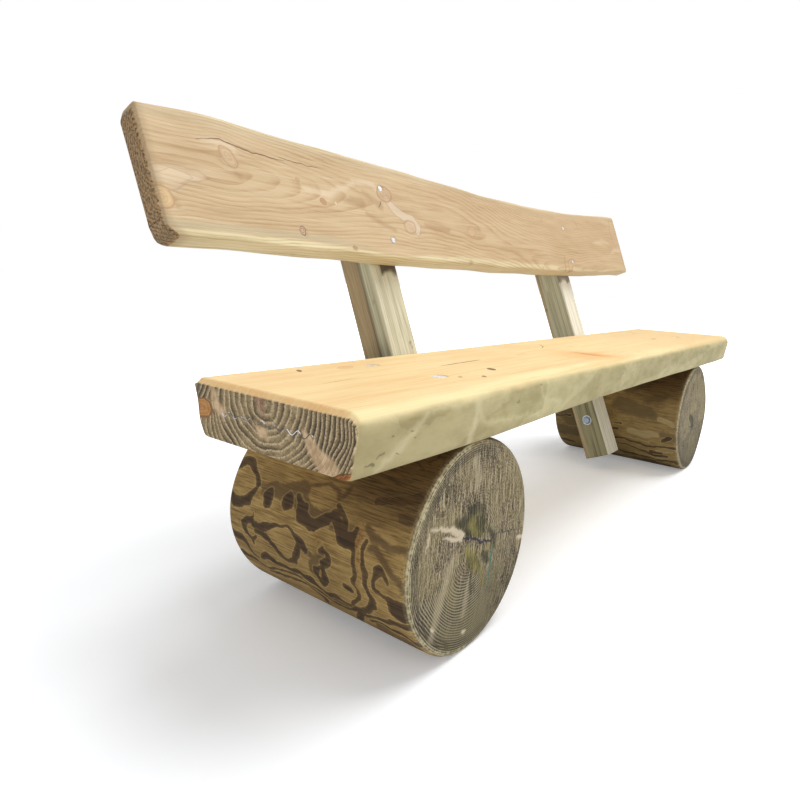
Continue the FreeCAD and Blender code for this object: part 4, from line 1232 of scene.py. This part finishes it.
# Late wood bared on the near log's outer side: strokes of (place along the log in millimetres,
# degrees above the level of its axis, half width in millimetres).
NEAR_DARK = (
    ((-275, 29, 7), (-255, 31, 7), (-235, 30, 7), (-220, 27, 4), (-206, 21, 3)),
    ((-278, 12, 7), (-262, 8, 8), (-240, 8, 8), (-222, 11, 9), (-210, 16, 6), (-204, 21, 3)),
    ((-172, 17, 13), (-170, 13.5, 12)), ((-122, 19, 13), (-120, 16, 11)),
    ((-98, 22, 3), (-90, 17, 8), (-78, 13, 12), (-60, 11.5, 12), (-45, 12.5, 10), (-30, 16, 11),
     (-14, 19, 9), (-5, 21, 6)),
    ((-90, 17, 8), (-82, 18, 7)), ((-8, 24, 4), (5, 21, 4), (12, 17, 6)),
    ((0, 16, 6), (12, 11.5, 12), (25, 10.5, 13), (38, 11, 12), (42, 16, 6)),
    ((-232, -4, 5), (-222, 0, 5), (-208, 2, 5), (-200, -1, 5), (-185, -2, 5), (-155, 2, 4.5),
     (-140, 4, 3.5), (-120, 4, 2.5), (-100, 4, 2.5), (-88, 2, 5), (-80, -2, 9), (-70, -4, 6)),
    ((-208, 2, 4), (-207, 5, 1)), ((-232, -4, 5), (-225, -9, 4), (-214, -11, 3), (-205, -9, 3)),
    ((-214, -11, 3), (-213, -14, 1)),
    ((-200, -5, 4), (-180, -5, 6), (-165, -6, 6), (-152, -9, 6), (-143, -13, 5), (-130, -15, 4),
     (-115, -16, 3), (-100, -14, 5), (-92, -9, 7), (-86, -4, 6)),
    ((-28, 0, 7), (-18, 0, 7), (-14, -3, 4), (-22, -7, 6), (-30, -8, 6)),
    ((-45, -12, 6), (-48, -17, 5), (-38, -20, 5), (-28, -17, 6), (-30, -10, 7), (-45, -12, 6)),
    ((19, -15, 7), (26, -15, 7)),
    ((38, 8, 3), (42, 0, 4), (40, -7, 3.5), (48, -13, 4), (45, -18, 3), (30, -25, 4), (20, -28, 4)),
    ((60, 14, 3), (63, 5, 4), (60, -5, 3.5), (68, -11, 5), (77, -14, 6), (72, -20, 6),
     (62, -24, 5), (40, -29, 4), (22, -32, 5)),
    ((95, 3, 5), (85, 1, 6), (80, -3, 5), (88, -8, 3.5), (100, -11, 3), (112, -12, 5)),
    ((115, -13, 12), (126, -15, 19), (132, -17, 17)), ((95, 3, 5), (106, 0, 3), (112, -3, 1)),
    ((-278, -12, 7), (-262, -13, 10), (-245, -14, 7), (-235, -18, 4), (-225, -24, 3),
     (-215, -26, 2)),
    ((-202, -24, 3), (-190, -21.5, 8), (-178, -20.5, 11), (-165, -21.5, 8), (-155, -23, 4),
     (-140, -22, 4), (-120, -23, 3.5), (-100, -21, 5), (-80, -22, 6), (-60, -24, 6),
     (-45, -28, 4.5), (-35, -29, 5), (-15, -28, 5), (10, -29, 4)),
    ((-278, -29, 6), (-255, -28, 7), (-240, -28, 5), (-220, -32, 3), (-205, -32, 3), (-185, -30, 5),
     (-165, -29, 3), (-140, -27, 2.5), (-110, -26, 2), (-90, -27, 2), (-70, -29, 3), (-50, -32, 4),
     (-35, -35, 3), (0, -36, 4), (20, -32, 4)),
    ((-200, -36, 3), (-170, -34, 3), (-140, -32, 3), (-110, -30, 3), (-85, -31, 3), (-65, -34, 4),
     (-55, -38, 5), (-62, -44, 4)),
    ((35, -33, 4), (25, -37, 6), (15, -42, 6), (0, -48, 6)),
    ((45, -32, 3), (60, -30, 4), (90, -28, 5), (120, -26, 5), (150, -25, 6)),
    ((50, -37, 3), (75, -34, 3.5), (100, -34, 4), (130, -37, 5), (145, -42, 5)),
    ((60, 33, 5), (80, 35, 6), (110, 37, 6), (145, 42, 7)))
NEAR_MURK = (
    ((-104, 21, 14), (-80, 17, 16), (-55, 14, 17), (-25, 17, 14), (0, 17, 12), (22, 13, 14),
     (40, 11, 13)),
    ((-180, 20, 14), (-150, 22, 13), (-125, 23, 18), (-98, 26, 16)),
    ((-95, 24, 3), (-85, 29, 3), (-60, 33, 3), (-40, 34, 3), (-20, 31, 3), (-12, 28, 4),
     (2, 34, 3)),
    ((-206, 21, 4), (-190, 22, 3)), ((-40, 14, 12), (-38, 17, 10)), ((-52, -11, 12), (-56, -16, 8)),
    ((-70, -4, 7), (-50, -6, 6), (-30, -5, 8)),
    ((62, 20, 8), (70, 17, 8), (88, 15, 7), (110, 14, 6), (150, 17, 6)),
    ((75, 12, 5), (100, 8, 6), (120, 3, 6), (145, -4, 5)), ((115, 29, 9), (145, 31, 10)),
    ((20, -33, 8), (60, -32, 4)), ((-35, -31, 7), (10, -33, 6)), ((75, -46, 30), (110, -46, 24)))
NEAR_PITCH = (((50, 21, 2), (48, 10, 5), (52, 0, 5), (49, -10, 5), (54, -15, 3)),
              ((-38, 8, 3), (-42, 2, 1)), ((-36, -11, 2.5), (-37, -15, 3)),
              ((-24, -1, 2), (-22, -3, 2)))
# The same on the right log's inner side; there the soft dark patches are partly painted shade.
RIGHT_DARK = (
    ((-50, -27, 3), (0, -26, 4), (40, -29, 5), (90, -30, 5), (120, -28, 4), (168, -27, 4)),
    ((-40, -33, 2), (20, -36, 3), (60, -40, 5), (90, -44, 6), (130, -41, 3)),
    ((80, -38, 7), (110, -37, 7)), ((-45, -15, 4), (-30, -14, 4)),
    ((-45, -47, 5), (20, -50, 6), (80, -52, 6), (160, -50, 7)),
    ((-270, -12, 2), (-240, -10, 3), (-205, -8, 3)), ((-265, -48, 7), (-215, -50, 7)),
    ((-48, -8, 2), (-20, -7, 2)), ((120, -20, 5), (140, -16, 7)))
# Soft dark patches of the right log: some darker wood, and painted shade behind the post (the rear
# strokes) and under the seat (the upper strokes).
RIGHT_MURK_AND_SHADE = (((-300, 8, 50), (-230, 0, 50), (-190, -10, 40)),
              ((-30, 14, 26), (20, 12, 24), (80, 8, 18)), ((-270, -30, 22), (-200, -30, 22)),
              ((-10, 32, 14), (60, 46, 20), (150, 52, 14)), ((120, -12, 10), (160, -15, 8)),
              ((-265, 10, 12), (-220, 12, 12)), ((60, 22, 10), (110, 30, 12)))
RIGHT_PITCH = (((10, -14, 10), (60, -15, 13), (100, -13, 10)), ((110, 4, 9), (150, 0, 9)),
               ((100, -34, 3), (130, -36, 4), (155, -33, 3)), ((-20, -22, 3), (30, -23, 3),
                                                             (80, -24, 3)),
               ((20, -45, 3), (90, -47, 4), (140, -45, 3)))
LOG_TABLES = {"left": (NEAR_DARK, NEAR_MURK, NEAR_PITCH),
              "right": (RIGHT_DARK, RIGHT_MURK_AND_SHADE, RIGHT_PITCH)}


def log_masks(points, side, axis_x, reach, end):
    """Figure of a log's peeled side, and rings of its sawn ends.

    The side's figure is the depth in millimetres inside the bared late wood. It comes from the
    sine of a slow random field, and on each log's left side from drawn strokes.
    """
    x, y, z = points.T
    turn = np.degrees(np.arctan2(z - LOG_LEVEL, axis_x - x))
    field = 1.2 * ripple(points, (0.09, 0.26, 0.09), 51 + len(side)) + 0.35 * ripple(
        points, (0.03, 0.10, 0.03), 61)
    figure = 9 * (np.sin(2 * np.pi * field) - 0.45)
    murk = 9 * (ripple(points, (0.05, 0.12, 0.05), 63) - 0.8)
    sway = 2.2 * ripple(points, 0.030, 64)
    along = -1000 * y - (130 if side == "left" else 105) + sway
    arc = turn * ARC + 2.0 * ripple(points, 0.026, 65)
    drawn = [np.maximum(ink(along, arc, [[(u, v * ARC, w) for u, v, w in line] for line in table]),
                        -20) for table in LOG_TABLES[side]]
    seen = step(-62, -46, turn) * step(60, 40, turn)
    figure = figure * (1 - seen) + drawn[0] * seen
    # On the right log the drawn murk is partly painted shade behind the post and under the seat.
    murk = murk * (1 - seen) + (1 if side == "left" else 0.35) * drawn[1] * seen
    middle = (-0.700, 0.178) if side == "left" else (axis_x + 0.004, 0.165)
    wobble = 1 + 0.03 * ripple(points, (0.10, 9.0, 0.10), 71)
    rings = np.hypot(x - middle[0], z - middle[1]) * wobble / YEAR_RING
    far = np.hypot(x - axis_x, z - LOG_LEVEL)
    rim = 1000 * (reach - far)
    if side == "left":
        west = step(-0.62, -0.72, x)
        fine = 0.95 * step(0.17, 0.10, z) * step(-0.59, -0.68, x)
    else:
        west = 0.45 + 0.55 * step(0.71, 0.60, x)
        fine = 0.3 + 0 * x
    fine = np.maximum(fine, 0.14 + 0.12 * ripple(points, (0.05, 9.0, 0.05), 72))
    # high: painted shade under the seat, on the upper side of the log's front part.
    high = step(10, 40, turn) * step(0.15, 0.0, y - y.min() - 0.1)
    return {"figure": figure, "murk": murk, "pitch": drawn[2], "rings": rings, "end": end,
            "rim": rim, "west": west, "fine": fine, "high": high,
            "saw": x + 1.2 * np.maximum(0.22 - z, 0) ** 2}


class BENCH_OT_logs(bpy.types.Operator):
    """Make the two logs: peeled rounds with planed flats above and below."""
    bl_idname = "bench.logs"
    bl_label = "Logs"

    def execute(self, context):
        shapes, finish = context.scene.bench_shapes, log_finish(context.scene.bench_finishes)
        for side, axis_x, side_share, outer_share, seat_face in (
                ("left", -0.691, 0.967, 0.98, 1), ("right", 0.678, 0.989, 1.02, -1)):
            low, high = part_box(f"log_{side}")
            fine = np.radians(np.linspace(-75, 75, 181))
            coarse = np.radians(np.linspace(75, 285, 141))[1:-1]
            turn = np.concatenate([fine, coarse])
            # The outline is a Fourier series through twelve measured shares of the radius.
            shares = np.array([side_share, 0.978, 0.985, 1, 0.992, 0.975, outer_share, 0.968,
                               0.984, 1, 0.99, 0.979])
            waves = np.fft.rfft(shares) / 12
            from_post = np.pi - turn if seat_face == 1 else turn
            orders = np.arange(7)
            weight = np.where((orders == 0) | (orders == 6), 1, 2)
            series = weight * waves * np.exp(1j * np.outer(from_post, orders))
            reach = LOG_RADIUS * series.real.sum(1)
            round_ = shapes.log_end_round
            sweep = np.linspace(0, np.pi / 2, 6)
            near = low.y + round_ * (1 - np.sin(sweep))[::-1]
            inset = round_ * (1 - np.cos(sweep))[::-1]
            body = lines(low.y + round_, high.y - round_, 0.0029)
            y = np.concatenate([near, body[1:-1], (high.y - round_ * (1 - np.sin(sweep)))])
            cut = np.concatenate([inset, 0 * body[1:-1], inset[::-1]])
            caps = np.linspace(1, 0, 56)[1:-1]
            rings = reach[None] - cut[:, None]
            tube_y = np.repeat(y[:, None], len(turn), 1)
            head = rings[:1] * caps[::-1, None]
            rings = np.concatenate([head, rings, rings[-1:] * caps[::2, None]])
            tube_y = np.concatenate([np.full(head.shape, low.y), tube_y,
                                     np.full((len(caps[::2]), len(turn)), high.y)])
            across = axis_x - rings * np.cos(turn)
            z = np.clip(LOG_LEVEL + rings * np.sin(turn), 0, LOG_HEIGHT)
            tube = np.stack([across, tube_y, z], -1)
            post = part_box(f"post_{side}")
            back, up = upright(tube)
            face = post[0].x if seat_face == 1 else post[1].x
            within = np.minimum(np.minimum(back, POST_WIDE - back), -up) + 0.004
            proud = np.maximum(seat_face * (across - face) + 0.003, 0)
            tube[..., 0] = across - seat_face * proud * step(-0.028, 0.0, within)
            points, sides, tips = drum(tube, [axis_x, low.y, LOG_LEVEL],
                                       [axis_x, high.y, LOG_LEVEL])
            flat_y = points[:, 1]
            end = np.maximum(step(low.y + 0.006, low.y + 0.002, flat_y),
                             step(high.y - 0.006, high.y - 0.002, flat_y))
            full = np.concatenate([np.repeat(reach[None], len(tube), 0).ravel(),
                                   [reach.mean()] * 2])
            piece(f"log_{side}_skin", f"log_{side}", points, sides, tips, slot="log_wood",
                  finish=finish, masks=log_masks(points, side, axis_x, full, end))
        return {"FINISHED"}


class BENCH_OT_strips(bpy.types.Operator):
    """Make the two corrugated strips that were driven into the seat's ends against splits."""
    bl_idname = "bench.strips"
    bl_label = "Corrugated strips"

    def execute(self, context):
        finish = strip_finish(context.scene.bench_finishes)
        for side in ("left", "right"):
            low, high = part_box(f"split_strip_{side}")
            y = np.linspace(low.y, high.y, 321)
            middle, thick = (low.z + high.z) / 2, 0.0006
            swing = (high.z - low.z) / 2 - 0.0007
            turns = 2 * np.pi * 8 * (y - low.y) / (high.y - low.y)
            wave = middle + swing * (0.82 + 0.18 * np.sin(2.3 * turns / 8)) * np.sin(turns)
            outer = low.x if side == "left" else high.x
            inner = high.x if side == "left" else low.x
            section = ((outer, thick), (inner, thick), (inner, -thick), (outer, -thick))
            tube = np.stack([np.stack([x + 0 * y, y, wave + away], -1) for x, away in section], 1)
            points, faces = bar(tube, 1)
            piece(f"split_strip_{side}_skin", f"split_strip_{side}", points, faces,
                  slot="strip_steel", finish=finish)
        return {"FINISHED"}


class BENCH_OT_steel(bpy.types.Operator):
    """Give the screws and washers their zinc."""
    bl_idname = "bench.steel"
    bl_label = "Screws and washers"

    def execute(self, context):
        finish = zinc_finish(context.scene.bench_finishes)
        for name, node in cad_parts.items():
            if "screw" in name or "washer" in name:
                node.data.materials.clear()
                node.data.materials.append(finish)
        return {"FINISHED"}


class BENCH_OT_stage(bpy.types.Operator):
    """Make the floor, the soft lamps, the even sky and the camera."""
    bl_idname = "bench.stage"
    bl_label = "Stage"

    def execute(self, context):
        scene, stage = context.scene, context.scene.bench_stage
        scene.view_settings.view_transform = "Standard"
        mesh = bpy.data.meshes.new("floor")
        mesh.from_pydata([(x * FLOOR_HALF, y * FLOOR_HALF, 0) for x, y in (
            (-1, -1), (1, -1), (1, 1), (-1, 1))], [], [(0, 1, 2, 3)])
        floor = bpy.data.objects.new("floor", mesh)
        scene.collection.objects.link(floor)
        finish = Finish("floor_paint")
        tree = finish.tree
        light = tree.nodes.new("ShaderNodeLightPath")
        glow = tree.nodes.new("ShaderNodeEmission")
        far = finish.vectors("LENGTH", finish.vectors("SUBTRACT", finish.object_place, DIM_MIDDLE))
        finish.put(glow.inputs["Strength"], finish.band(far, 0.7, 2.25, 0.21, 1.0))
        glow.inputs["Color"].default_value = (1.0, 1.0, 1.0, 1.0)
        add = tree.nodes.new("ShaderNodeAddShader")
        mixed = tree.nodes.new("ShaderNodeMixShader")
        finish.close(tuple(stage.floor), 0.9, shine=0.0)
        tree.links.new(finish.surface.outputs[0], add.inputs[0])
        tree.links.new(glow.outputs[0], add.inputs[1])
        tree.links.new(light.outputs["Is Camera Ray"], mixed.inputs[0])
        tree.links.new(finish.surface.outputs[0], mixed.inputs[1])
        tree.links.new(add.outputs[0], mixed.inputs[2])
        tree.links.new(mixed.outputs[0], finish.output.inputs[0])
        mesh.materials.append(finish.material)

        world = bpy.data.worlds.new("sky")
        world.use_nodes = True
        nodes, links = world.node_tree.nodes, world.node_tree.links
        sky = nodes["Background"]
        sky.inputs["Color"].default_value = (1.0, 1.0, 1.0, 1.0)
        seen = nodes.new("ShaderNodeBackground")
        seen.inputs["Color"].default_value = (1.0, 1.0, 1.0, 1.0)
        sky.inputs["Strength"].default_value = stage.sky_strength
        path = nodes.new("ShaderNodeLightPath")
        white = path.outputs["Is Camera Ray"]
        for ray in ("Is Transmission Ray", "Is Glossy Ray"):
            either = nodes.new("ShaderNodeMath")
            either.operation = "MAXIMUM"
            links.new(white, either.inputs[0])
            links.new(path.outputs[ray], either.inputs[1])
            white = either.outputs[0]
        mix = nodes.new("ShaderNodeMixShader")
        links.new(white, mix.inputs[0])
        links.new(sky.outputs[0], mix.inputs[1])
        links.new(seen.outputs[0], mix.inputs[2])
        links.new(mix.outputs[0], nodes["World Output"].inputs[0])
        scene.world = world

        for name, place, size, power in (
                ("main_lamp", (2.2, -1.6, 7.2), 4.8, stage.lamp_power),
                ("front_lamp", (-1.6, -3.4, 1.6), 2.5, stage.lamp_power * 0.04)):
            lamp = bpy.data.lights.new(name, "AREA")
            lamp.shape, lamp.size, lamp.energy = "DISK", size, power
            thing = bpy.data.objects.new(name, lamp)
            thing.location = place
            aim = Vector(AIM) - Vector(place)
            thing.rotation_euler = aim.to_track_quat("-Z", "Y").to_euler()
            scene.collection.objects.link(thing)

        data = bpy.data.cameras.new("camera")
        data.lens, data.sensor_width, data.sensor_fit = stage.focal_length, 36.0, "HORIZONTAL"
        data.shift_x, data.shift_y = CAMERA_SHIFT
        data.clip_start, data.clip_end = 0.05, 200.0
        camera = bpy.data.objects.new("camera", data)
        ahead = Vector(CAMERA_AHEAD).normalized()
        up = Vector(CAMERA_RIGHT).cross(ahead).normalized()
        right = ahead.cross(up)
        camera.matrix_world = (Matrix.Translation(Vector(stage.camera_place))
                               @ Matrix((right, up, -ahead)).transposed().to_4x4())
        scene.collection.objects.link(camera)
        scene.camera = camera
        return {"FINISHED"}


class BENCH_PT_panel(bpy.types.Panel):
    """Lists the bench's sizes, finishes and pieces."""
    bl_idname = "BENCH_PT_panel"
    bl_label = "Rustic log bench"
    bl_space_type = "VIEW_3D"
    bl_region_type = "UI"
    bl_category = "Bench"

    def draw(self, context):
        for group in (context.scene.bench_shapes, context.scene.bench_finishes,
                      context.scene.bench_stage):
            for name in group.__annotations__:
                self.layout.prop(group, name)
        for operator in OPERATORS:
            self.layout.operator(operator.bl_idname)


OPERATORS = (BENCH_OT_stage, BENCH_OT_seat, BENCH_OT_back, BENCH_OT_posts, BENCH_OT_logs,
             BENCH_OT_strips, BENCH_OT_steel)
GROUPS = (("bench_shapes", BenchShapes), ("bench_finishes", BenchFinishes),
          ("bench_stage", BenchStage))


def register():
    for name, group in GROUPS:
        bpy.utils.register_class(group)
        setattr(bpy.types.Scene, name, bpy.props.PointerProperty(type=group))
    for operator in OPERATORS:
        bpy.utils.register_class(operator)
    bpy.utils.register_class(BENCH_PT_panel)


def unregister():
    bpy.utils.unregister_class(BENCH_PT_panel)
    for operator in reversed(OPERATORS):
        bpy.utils.unregister_class(operator)
    for name, group in reversed(GROUPS):
        delattr(bpy.types.Scene, name)
        bpy.utils.unregister_class(group)


def main():
    register()
    bpy.ops.bench.stage()
    bpy.ops.bench.seat()
    bpy.ops.bench.back()
    bpy.ops.bench.posts()
    bpy.ops.bench.logs()
    bpy.ops.bench.strips()
    bpy.ops.bench.steel()


if __name__ == "__main__":
    main()
